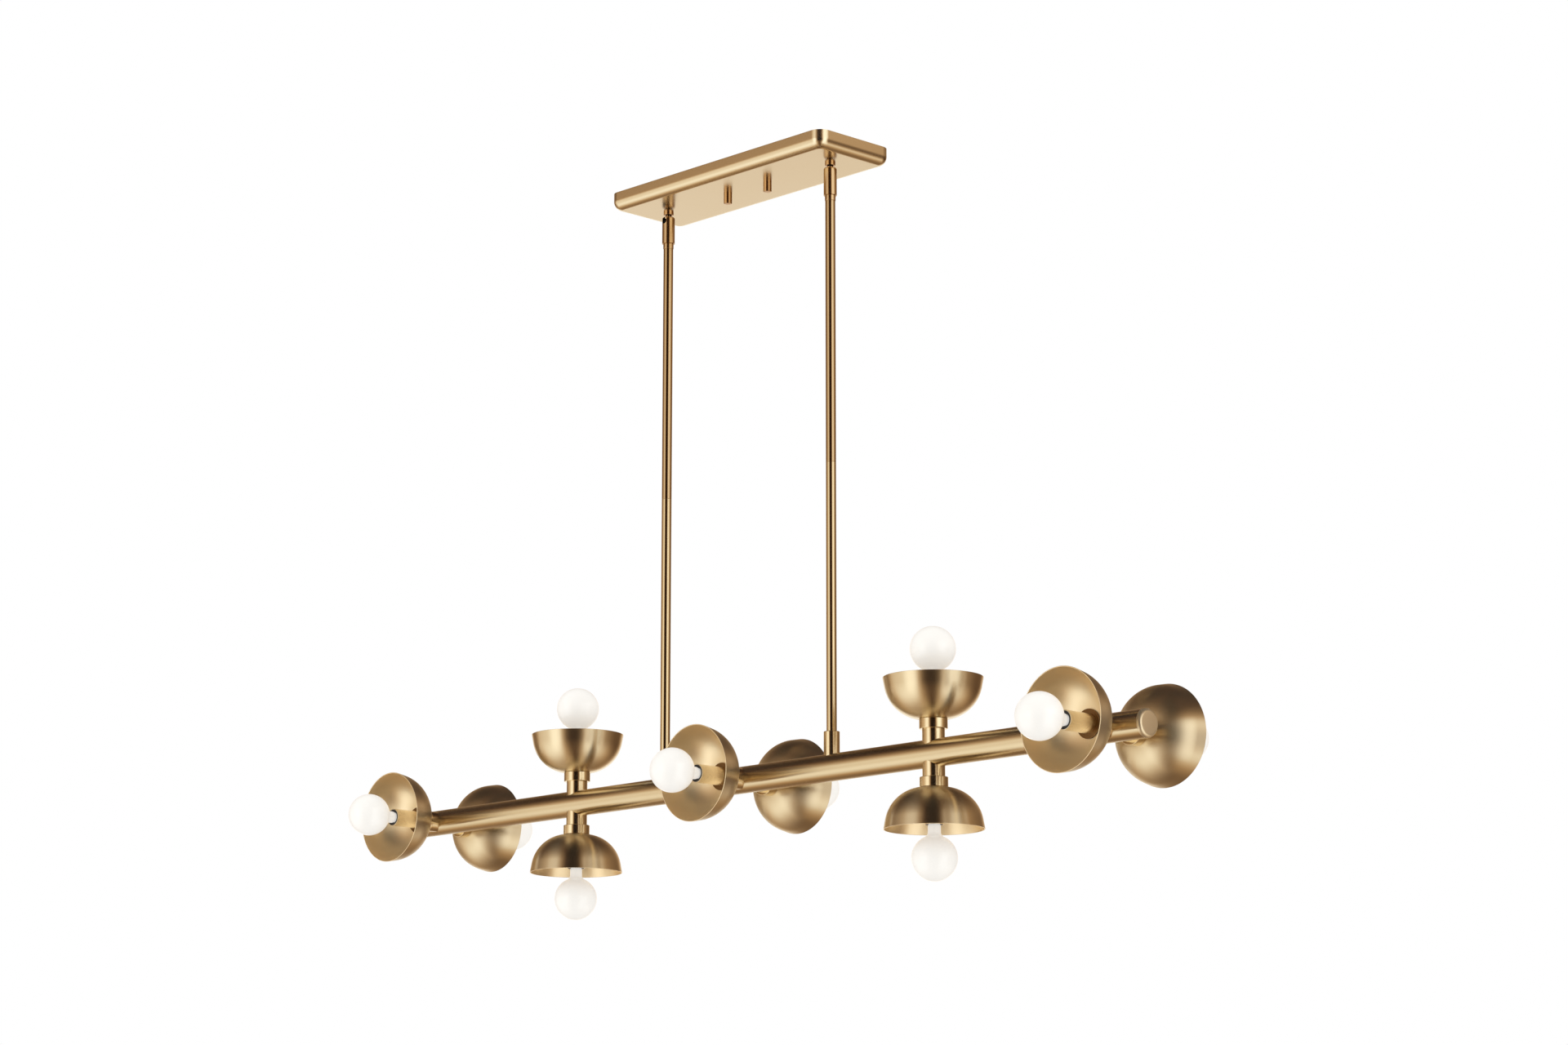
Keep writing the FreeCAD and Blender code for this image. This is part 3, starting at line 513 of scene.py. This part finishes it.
tube_low, tube_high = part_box("main_tube")
tube_height = (tube_low.z + tube_high.z) / 2
tube_radius = (tube_high.z - tube_low.z) / 2
for side, place in zip(("left", "right"), stem_places):
    low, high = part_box(f"stem_collar_{side}")
    radius = (high.x - low.x) / 2
    foot = tube_height + math.sqrt(tube_radius ** 2 - radius ** 2)
    collar = [
        (stem_bore, high.z),
        (radius, high.z, COLLAR_EDGE_ROUND),
        (radius, foot),
        (stem_bore, foot),
    ]
    mesh = copies_of(turned_form(collar, SMALL_TURN_STEPS), [place])
    dress(f"stem_foot_{side}", mesh, rod_brass, "rod_brass", "hanging_frame", f"stem_collar_{side}")

# Main tube
# One long drawn brass tube carries all the arms. It is brushed as it turns, so that its highlights run
# straight from end to end. Flat caps with a soft edge close its two ends.
TUBE_WALL = 0.0015
CAP_EDGE_ROUND = 0.004
WIDE_TURN_STEPS = 128
cap_brass = turned_brass(
    "cap brass", tone=(0.90, 0.77, 0.54), roughness=0.38, anisotropy=0.0, bare=0.88,
)
tube_brass = turned_brass(
    "tube brass", tone=(0.80, 0.672, 0.445), roughness=0.25, anisotropy=0.88, marks=1800.0, depth=0.12,
)
lengthwise = Vector((0, 0, 1)).rotation_difference(Vector((1, 0, 0))).to_matrix().to_4x4()
on_tube_axis = Matrix.Translation((0.0, 0.0, tube_height)) @ lengthwise
tube = [
    (tube_radius - TUBE_WALL, tube_high.x),
    (tube_radius, tube_high.x),
    (tube_radius, tube_low.x),
    (tube_radius - TUBE_WALL, tube_low.x),
]
mesh = copies_of(turned_form(tube, WIDE_TURN_STEPS), [on_tube_axis])
dress("long_tube", mesh, tube_brass, "rod_brass", "hanging_frame", "main_tube")
for side, sign in (("left", -1), ("right", 1)):
    low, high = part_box(f"end_cap_{side}")
    face = max(abs(low.x), abs(high.x)) * sign
    inner = tube_high.x * sign
    cap = [
        (0.0, inner),
        (tube_radius, inner),
        (tube_radius, face, CAP_EDGE_ROUND),
        (0.0, face),
    ]
    mesh = copies_of(turned_form(cap, WIDE_TURN_STEPS, closed=False), [on_tube_axis])
    dress(f"tube_cap_{side}", mesh, cap_brass, "rod_brass", "hanging_frame", f"end_cap_{side}")

# Arms
# Ten short stubs stand on the tube, facing up, down, front and back. A slightly wider collar caps each
# one and backs the bowl, and a threaded nipple runs through both into the lampholder.
STUB_RADIUS = 0.01225
STUB_WALL = 0.0016
COLLAR_RADIUS = 0.0154
COLLAR_START = 0.026
COLLAR_ROUND = 0.0006
BOWL_BACK = 0.037
OUTWARD = {"up": (0, 0, 1), "down": (0, 0, -1), "front": (0, -1, 0), "back": (0, 1, 0)}
lamps = {}
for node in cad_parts:
    if node.startswith("shade_"):
        lamp = node.removeprefix("shade_")
        low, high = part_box(node)
        facing = Vector(OUTWARD[lamp.rsplit("_", 1)[1]])
        turn = Vector((0, 0, 1)).rotation_difference(facing).to_matrix().to_4x4()
        lamps[lamp] = Matrix.Translation(((low.x + high.x) / 2, 0.0, tube_height)) @ turn
stub_foot = math.sqrt(tube_radius ** 2 - STUB_RADIUS ** 2)
stub = [
    (STUB_RADIUS - STUB_WALL, stub_foot),
    (STUB_RADIUS, stub_foot),
    (STUB_RADIUS, COLLAR_START + COLLAR_ROUND),
    (STUB_RADIUS - STUB_WALL, COLLAR_START + COLLAR_ROUND),
]
mesh = copies_of(turned_form(stub), lamps.values())
dress("arm_tubes", mesh, rod_brass, "rod_brass", "hanging_frame", "arm_stubs")
collar = [
    (STUB_RADIUS - STUB_WALL, COLLAR_START),
    (COLLAR_RADIUS, COLLAR_START, COLLAR_ROUND),
    (COLLAR_RADIUS, BOWL_BACK, COLLAR_ROUND),
    (STUB_RADIUS - STUB_WALL, BOWL_BACK),
]
mesh = copies_of(turned_form(collar), lamps.values())
dress("arm_caps", mesh, rod_brass, "rod_brass", "hanging_frame", "arm_collars")
refinish("lamp_nipples", barrel_brass)

# Bowl shades
# Half bowls spun from sheet brass: a flat seat, one large round and a wall that leans out a little to
# the rim. They are brushed on the lathe, so highlights fan out from the middle. The inside is duller,
# and its paler tone with a share of matt colour is painted light that lifts its own shade.
BOWL_WALL = 0.001
BOWL_HOLE = 0.00485
BOWL_SEAT = 0.0113
BOWL_ROUND = 0.0419
BOWL_RIM_ROUND = 0.0003
BOWL_STEPS = 40
BOWL_MARKS = 1400.0
bowl_brass = turned_brass(
    "spun brass", tone=(0.86, 0.735, 0.502), roughness=0.32, anisotropy=0.85, marks=BOWL_MARKS,
    depth=0.25,
)
# Painted light: the inside finish is paler and partly matt, so that the bowl's own shade is lifted.
bowl_inside_dull_and_lit_brass = turned_brass(
    "spun brass inside", tone=(0.99, 0.83, 0.555), roughness=0.34, anisotropy=0.4, marks=BOWL_MARKS,
    depth=0.35, bare=0.85,
)
low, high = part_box("shade_left_up")
rim_radius = (high.x - low.x) / 2
rim_height = high.z - tube_height
run = rim_radius - BOWL_SEAT
rise = rim_height - BOWL_BACK - BOWL_ROUND
lean = math.acos(BOWL_ROUND / math.hypot(run, rise)) - math.atan2(rise, run)
round_middle = (BOWL_SEAT, BOWL_BACK + BOWL_ROUND)
bowl = [
    (BOWL_HOLE, BOWL_BACK),
    *arc(round_middle, BOWL_ROUND, -90, -math.degrees(lean), BOWL_STEPS),
    (rim_radius, rim_height, BOWL_RIM_ROUND),
    (rim_radius - BOWL_WALL / math.cos(lean), rim_height, BOWL_RIM_ROUND),
    *arc(round_middle, BOWL_ROUND - BOWL_WALL, -math.degrees(lean), -90, BOWL_STEPS),
    (BOWL_HOLE, BOWL_BACK + BOWL_WALL),
]
bowl_form = turned_form(bowl, WIDE_TURN_STEPS)
# Faces that look into the bowl take the inside finish with its painted light.
for face in bowl_form.polygons:
    face.material_index = int(face.normal.z > 0)
for lamp, place in lamps.items():
    mesh = copies_of(bowl_form, [place])
    dress(f"bowl_{lamp}", mesh, bowl_brass, "bowl_brass", "hanging_frame", f"shade_{lamp}")
    mesh.materials.append(bowl_inside_dull_and_lit_brass)

# Lampholders
# In each bowl a lock ring clamps it to the arm, painted dark brown as painted shade and dark reflection
# round the sleeve's foot; a plain brass sleeve stands on the ring, and a black moulded holder sits
# inside the sleeve with the bulb's screw shell and contact. Its thin rim lines the sleeve's mouth round
# the neck of the bulb.
RING_HEIGHT = 0.002
RING_RADIUS = 0.0155
RING_EDGE_ROUND = 0.0007
SLEEVE_RADIUS = 0.0105
SLEEVE_WALL = 0.0009
SLEEVE_BELOW_RIM = 0.005
SLEEVE_LIP_ROUND = 0.0003
HOLDER_RADIUS = 0.0094
HOLDER_BELOW_MOUTH = 0.005
RIM_BORE = 0.0075
RIM_BELOW_MOUTH = 0.0002
RIM_EDGE_ROUND = 0.0003
MOULD_GRAIN_SCALE = 1800.0
MOULD_GRAIN_DETAIL = 3.0
MOULD_GRAIN_SHADE = 0.7
MOULD_GRAIN_STRENGTH = 0.2
MOULD_GRAIN_DEPTH = 0.00003
ring_foot = BOWL_BACK + BOWL_WALL
ring_top = ring_foot + RING_HEIGHT
ring = [
    (BOWL_HOLE, ring_foot),
    (BOWL_SEAT, ring_foot),
    (RING_RADIUS, ring_foot + RING_HEIGHT / 2),
    (RING_RADIUS, ring_top, RING_EDGE_ROUND),
    (BOWL_HOLE, ring_top),
]
# Painted shade: the lock rings are dark brown, standing in for the shade and dark reflection at the foot
# of the sleeve.
dark_brass = turned_brass("darkened brass", tone=(0.20, 0.115, 0.05), roughness=0.30, anisotropy=0.3)
mesh = copies_of(turned_form(ring), lamps.values())
dress("bowl_lock_rings", mesh, dark_brass, "dark_brass", "hanging_frame", "lock_rings")
sleeve_mouth = rim_height - SLEEVE_BELOW_RIM
sleeve = [
    (SLEEVE_RADIUS - SLEEVE_WALL, ring_top),
    (SLEEVE_RADIUS, ring_top),
    (SLEEVE_RADIUS, sleeve_mouth, SLEEVE_LIP_ROUND),
    (SLEEVE_RADIUS - SLEEVE_WALL, sleeve_mouth, SLEEVE_LIP_ROUND),
]
sleeve_brass = turned_brass(
    "sleeve brass", tone=(0.87, 0.755, 0.56), roughness=0.28, anisotropy=0.4, depth=0.6,
)
mesh = copies_of(turned_form(sleeve), lamps.values())
dress("lamp_sleeves", mesh, sleeve_brass, "rod_brass", "hanging_frame", "socket_sleeves")


def moulded_plastic(name, tone, roughness):
    """Dark moulded plastic with the faint grain of its mould."""
    dark = [part * MOULD_GRAIN_SHADE for part in tone]
    material, nodes, link, shader, grain = mottled_finish(
        name, MOULD_GRAIN_SCALE, MOULD_GRAIN_DETAIL, dark, tone,
    )
    shader.inputs["Roughness"].default_value = roughness
    raise_grain(nodes, link, shader, grain, MOULD_GRAIN_STRENGTH, MOULD_GRAIN_DEPTH)
    return material


black_plastic = moulded_plastic("black holder", tone=(0.022, 0.021, 0.020), roughness=0.45)
refinish("lampholders", black_plastic)
holder_top = sleeve_mouth - HOLDER_BELOW_MOUTH
rim_top = sleeve_mouth - RIM_BELOW_MOUTH
rim = [
    (RIM_BORE, holder_top),
    (HOLDER_RADIUS, holder_top),
    (HOLDER_RADIUS, rim_top, RIM_EDGE_ROUND),
    (RIM_BORE, rim_top, RIM_EDGE_ROUND),
]
mesh = copies_of(turned_form(rim), lamps.values())
dress("holder_rims", mesh, black_plastic, "black_plastic", "hanging_frame")
refinish("socket_contacts", barrel_brass)

# Bulbs
# Blown opal glass globes with a short neck, cemented into plated screw bases. The glass is softly
# glossy; its colour is a mid grey, and a painted glow makes it read white and keeps its shaded side
# pale.
GLOBE_RADIUS = 0.025
GLOBE_BEYOND_RIM = 0.031
GLASS_WALL = 0.001
NECK_RADIUS = 0.007
NECK_ROUND = 0.006
NECK_ROUND_STEPS = 10
NECK_SHOULDER = 0.004
GLOBE_STEPS = 48
GLASS_STEM = 0.0053
GLASS_OVERLAP = 0.005
BASE_ABOVE_HOLDER = 0.002
BASE_RADIUS = 0.00595
BASE_WALL = 0.0006
BASE_HEIGHT = 0.017
BASE_FLOOR = 0.0012
BUTTON_RADIUS = 0.0024
BUTTON_HEIGHT = 0.0015
GLASS_CLOUD_SCALE = 60.0
GLASS_CLOUD_DETAIL = 2.0
GLASS_SHADE = (0.50, 0.49, 0.47)
GLASS_TONE = (0.53, 0.52, 0.505)
GLASS_SURFACE = {"Roughness": 0.32, "Coat Weight": 0.35, "Coat Roughness": 0.12}
# Painted glow: an even emission that lifts the glass's shaded side and makes the grey glass read white.
GLASS_PAINTED_GLOW = {"Emission Color": (1.0, 0.98, 0.93, 1.0), "Emission Strength": 0.51}


def opal_glass():
    """Opal glass of a mid grey with a painted glow that makes it read white, and a clear skin that gives
    it its soft gloss.
    """
    material, nodes, link, shader, cloud = mottled_finish(
        "opal glass", GLASS_CLOUD_SCALE, GLASS_CLOUD_DETAIL, GLASS_SHADE, GLASS_TONE,
    )
    for quality, value in (GLASS_SURFACE | GLASS_PAINTED_GLOW).items():
        shader.inputs[quality].default_value = value
    return material


opal = opal_glass()
base_metal = plated_steel("bulb base metal", tone=(0.70, 0.70, 0.71), roughness=0.30)
base_top = holder_top + BASE_ABOVE_HOLDER
base_bottom = base_top - BASE_HEIGHT
globe_height = rim_height + GLOBE_BEYOND_RIM
flare_reach = GLOBE_RADIUS + NECK_ROUND
flare_out = NECK_RADIUS + NECK_ROUND
flare_drop = math.sqrt(flare_reach ** 2 - flare_out ** 2)
flare_middle = (flare_out, globe_height - flare_drop)
flare_angle = math.degrees(math.atan2(flare_drop, flare_out))
globe_middle = (0.0, globe_height)
neck_foot = (NECK_RADIUS, base_top + NECK_SHOULDER)
globe = [
    (GLASS_STEM - GLASS_WALL, base_top - GLASS_OVERLAP),
    (GLASS_STEM, base_top - GLASS_OVERLAP),
    (GLASS_STEM, base_top),
    (*neck_foot, NECK_SHOULDER / 3),
    *arc(flare_middle, NECK_ROUND, 180, 180 - flare_angle, NECK_ROUND_STEPS),
    *arc(globe_middle, GLOBE_RADIUS, -flare_angle, 90, GLOBE_STEPS)[1:],
    *arc(globe_middle, GLOBE_RADIUS - GLASS_WALL, 90, -flare_angle, GLOBE_STEPS),
    *arc(flare_middle, NECK_ROUND + GLASS_WALL, 180 - flare_angle, 180, NECK_ROUND_STEPS)[1:],
    (NECK_RADIUS - GLASS_WALL, base_top + NECK_SHOULDER),
    (GLASS_STEM - GLASS_WALL, base_top),
]
base = [
    (0.0, base_bottom + BASE_FLOOR),
    (BASE_RADIUS - BASE_WALL, base_bottom + BASE_FLOOR),
    (BASE_RADIUS - BASE_WALL, base_top),
    (BASE_RADIUS, base_top),
    (BASE_RADIUS, base_bottom, BASE_WALL),
    (BUTTON_RADIUS, base_bottom),
    (BUTTON_RADIUS, base_bottom - BUTTON_HEIGHT, BUTTON_HEIGHT / 3),
    (0.0, base_bottom - BUTTON_HEIGHT),
]
globe_form = turned_form(globe)
base_form = turned_form(base, SMALL_TURN_STEPS, closed=False)
for lamp, place in lamps.items():
    mesh = copies_of(globe_form, [place])
    dress(f"opal_globe_{lamp}", mesh, opal, "opal_glass", f"bulb_{lamp}", f"bulb_globe_{lamp}")
    mesh = copies_of(base_form, [place])
    dress(f"screw_base_{lamp}", mesh, base_metal, "bulb_metal", f"bulb_{lamp}", f"bulb_base_{lamp}")

# Studio
# A pale floor far below the light and plain soft light from all round. What the polished metal mirrors
# is a bright room with a dim ceiling and a dark place where the camera stands, which gives the brass
# its bands. Two large soft lamps, one each side, model the shapes a little.
FLOOR_HEIGHT = -2.4
FLOOR_SIZE = 60.0
FLOOR_TONE = (0.82, 0.82, 0.82)
FLOOR_ROUGHNESS = 0.9
CAMERA_PLACE = (2.94764, -2.78819, -1.26730)
CAMERA_AZIMUTH = 45.9916
CAMERA_PITCH = 11.8214
CAMERA_LENS = 83.131
CAMERA_SENSOR = 36.0
ROOM_STRENGTH = 1.45
PLAIN_TONE = (1.0, 0.99, 0.975)
PLAIN_STRENGTH = 0.95
WHITE = (1.0, 1.0, 1.0)

floor_bench = bmesh.new()
bmesh.ops.create_grid(floor_bench, x_segments=1, y_segments=1, size=FLOOR_SIZE / 2)
bmesh.ops.translate(floor_bench, vec=(0.0, 0.0, FLOOR_HEIGHT), verts=floor_bench.verts)
floor_mesh = bpy.data.meshes.new("floor")
floor_bench.to_mesh(floor_mesh)
floor_bench.free()
floor = bpy.data.objects.new("floor", floor_mesh)
bpy.context.scene.collection.objects.link(floor)
floor.visible_glossy = False
floor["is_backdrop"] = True


def either(nodes, link, share, first, second):
    """The output of a mix of two shaders; a share of 0 gives the first and 1 the second."""
    mix = nodes.new("ShaderNodeMixShader")
    link(share, mix.inputs["Fac"])
    link(first, mix.inputs[1])
    link(second, mix.inputs[2])
    return mix.outputs["Shader"]


def floor_paint():
    """Matt pale paint that is see-through from underneath."""
    material, nodes, link, shader = new_finish("floor paint")
    shader.inputs["Base Color"].default_value = (*FLOOR_TONE, 1.0)
    shader.inputs["Roughness"].default_value = FLOOR_ROUGHNESS
    underneath = nodes.new("ShaderNodeNewGeometry").outputs["Backfacing"]
    clear = nodes.new("ShaderNodeBsdfTransparent")
    paint = either(nodes, link, underneath, shader.outputs["BSDF"], clear.outputs["BSDF"])
    link(paint, nodes["Material Output"].inputs["Surface"])
    return material


floor_mesh.materials.append(floor_paint())

# Brightness of the mirrored room low down, at the horizon and high up, by the degrees that a direction
# lies to the right of the camera's. Then, by the sine of its height above the horizon, the share of
# the low table, of the high table and of the brightness. Dimmer places are also warmer.
LOW_ROUND_SHARES = (
    (-180, 0.20), (-165, 0.22), (-150, 0.33), (-135, 0.50), (-120, 0.68), (-100, 0.86), (-62, 0.96),
    (-45, 0.70), (-30, 0.40), (-18, 0.12), (4, 0.12), (16, 0.52), (30, 1.0), (60, 0.90), (90, 0.76),
    (105, 0.66), (120, 0.50), (135, 0.33), (150, 0.25), (180, 0.20),
)
ROUND_SHARES = (
    (-180, 0.83), (-160, 0.82), (-147, 0.19), (-130, 0.24), (-112, 0.70), (-92, 0.72), (-77, 0.72),
    (-64, 0.96), (-46, 1.0), (-37, 0.58), (-30, 0.14), (-24, 0.0), (13, 0.0), (22, 0.42), (31, 1.0),
    (50, 1.0), (60, 0.90), (71, 0.44), (82, 0.16), (112, 0.08), (140, 0.10), (154, 0.56), (166, 0.81),
    (180, 0.83),
)
HIGH_ROUND_SHARES = (
    (-180, 0.50), (-160, 0.46), (-145, 0.27), (-128, 0.15), (-110, 0.04), (-94, 0.28), (-72, 0.68),
    (-50, 0.76), (-36, 0.42), (-24, 0.03), (9, 0.03), (20, 0.58), (32, 1.0), (60, 1.0), (76, 0.82),
    (92, 0.52), (112, 0.34), (140, 0.24), (160, 0.46), (180, 0.50),
)
LOW_SHARES = ((-1.0, 1.0), (-0.56, 1.0), (-0.24, 0.0), (1.0, 0.0))
HIGH_SHARES = ((-1.0, 0.0), (0.02, 0.0), (0.36, 1.0), (1.0, 1.0))
HEIGHT_SHARES = (
    (-1.0, 0.36), (-0.9, 0.62), (-0.74, 0.92), (-0.55, 1.0), (0.25, 1.0), (0.42, 0.84), (0.60, 0.32),
    (0.76, 0.09), (1.0, 0.07),
)
ROOM_TONES = (
    (0.0, (0.0, 0.0, 0.0)), (0.05, (0.034, 0.012, 0.0045)), (0.45, (0.325, 0.212, 0.122)),
    (0.62, (0.505, 0.388, 0.272)), (0.80, (0.745, 0.73, 0.69)), (1.0, (1.0, 1.0, 1.0)),
)


def share_ramp(nodes, link, value, shares):
    """A ramp node that gives a grey for each value; the first and last values are the ramp's ends."""
    low, high = shares[0][0], shares[-1][0]
    greys = ramp(nodes, [((at - low) / (high - low), (share,) * 3) for at, share in shares])
    link(value, greys.inputs["Fac"])
    return greys


def mirrored_room(nodes, link):
    """The output of the room's colour in the direction of a ray."""
    direction = nodes.new("ShaderNodeTexCoord").outputs["Generated"]
    turned_room = nodes.new("ShaderNodeVectorRotate")
    turned_room.rotation_type = "Z_AXIS"
    turned_room.inputs["Angle"].default_value = math.radians(90 - CAMERA_AZIMUTH)
    link(direction, turned_room.inputs["Vector"])
    parts = nodes.new("ShaderNodeSeparateXYZ")
    link(turned_room.outputs["Vector"], parts.inputs["Vector"])
    bearing = nodes.new("ShaderNodeMath")
    bearing.operation = "ARCTAN2"
    link(parts.outputs["Y"], bearing.inputs[0])
    link(parts.outputs["X"], bearing.inputs[1])
    bearing_share = nodes.new("ShaderNodeMapRange")
    bearing_share.inputs["From Min"].default_value = -math.pi
    bearing_share.inputs["From Max"].default_value = math.pi
    link(bearing.outputs["Value"], bearing_share.inputs["Value"])
    height_share = nodes.new("ShaderNodeMapRange")
    height_share.inputs["From Min"].default_value = -1.0
    link(parts.outputs["Z"], height_share.inputs["Value"])
    around = share_ramp(nodes, link, bearing_share.outputs["Result"], ROUND_SHARES)
    for level_shares, there in ((LOW_SHARES, LOW_ROUND_SHARES), (HIGH_SHARES, HIGH_ROUND_SHARES)):
        level = share_ramp(nodes, link, height_share.outputs["Result"], level_shares)
        around_there = share_ramp(nodes, link, bearing_share.outputs["Result"], there)
        blended = nodes.new("ShaderNodeMixRGB")
        link(level.outputs["Color"], blended.inputs["Fac"])
        link(around.outputs["Color"], blended.inputs["Color1"])
        link(around_there.outputs["Color"], blended.inputs["Color2"])
        around = blended
    upward = share_ramp(nodes, link, height_share.outputs["Result"], HEIGHT_SHARES)
    banded = nodes.new("ShaderNodeMixRGB")
    banded.blend_type = "MULTIPLY"
    banded.inputs["Fac"].default_value = 1.0
    link(around.outputs["Color"], banded.inputs["Color1"])
    link(upward.outputs["Color"], banded.inputs["Color2"])
    toned = ramp(nodes, ROOM_TONES)
    link(banded.outputs["Color"], toned.inputs["Fac"])
    return toned.outputs["Color"]


def even_light(nodes, tone, strength):
    """A background node of one tone."""
    light = nodes.new("ShaderNodeBackground")
    light.inputs["Color"].default_value = (*tone, 1.0)
    light.inputs["Strength"].default_value = strength
    return light


def room_light():
    """Plain light for the surfaces, white behind the object, and the banded room in its reflections."""
    world = bpy.data.worlds.new("studio")
    world.use_nodes = True
    nodes = world.node_tree.nodes
    link = world.node_tree.links.new
    nodes.clear()
    mirrored = even_light(nodes, WHITE, ROOM_STRENGTH)
    link(mirrored_room(nodes, link), mirrored.inputs["Color"])
    plain = even_light(nodes, PLAIN_TONE, PLAIN_STRENGTH)
    white = even_light(nodes, WHITE, strength=1.0)
    rays = nodes.new("ShaderNodeLightPath").outputs
    unseen = either(
        nodes, link, rays["Is Glossy Ray"], plain.outputs["Background"], mirrored.outputs["Background"],
    )
    seen = nodes.new("ShaderNodeMath")
    seen.operation = "MAXIMUM"
    link(rays["Is Camera Ray"], seen.inputs[0])
    link(rays["Is Transmission Ray"], seen.inputs[1])
    light = either(nodes, link, seen.outputs["Value"], unseen, white.outputs["Background"])
    link(light, nodes.new("ShaderNodeOutputWorld").inputs["Surface"])
    return world


bpy.context.scene.world = room_light()


def soft_box(name, place, side, watts):
    """A large square soft lamp aimed at the middle of the light."""
    lamp = bpy.data.lights.new(name, "AREA")
    lamp.shape = "SQUARE"
    lamp.size = side
    lamp.energy = watts
    holder = bpy.data.objects.new(name, lamp)
    bpy.context.scene.collection.objects.link(holder)
    holder.location = place
    aim = (cad_low + cad_high) / 2 - Vector(place)
    holder.rotation_mode = "QUATERNION"
    holder.rotation_quaternion = aim.to_track_quat("-Z", "Y")
    holder.visible_glossy = False


soft_box("key box", place=(-2.2, -3.0, 1.2), side=2.2, watts=36.0)
soft_box("fill box", place=(3.2, 0.6, 0.4), side=2.0, watts=16.0)

camera_data = bpy.data.cameras.new("camera")
camera_data.lens = CAMERA_LENS
camera_data.sensor_width = CAMERA_SENSOR
camera = bpy.data.objects.new("camera", camera_data)
bpy.context.scene.collection.objects.link(camera)
camera.location = CAMERA_PLACE
camera.rotation_euler = (math.radians(90 + CAMERA_PITCH), 0.0, math.radians(CAMERA_AZIMUTH))
bpy.context.scene.camera = camera
bpy.context.scene.view_settings.view_transform = "Standard"

low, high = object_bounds()
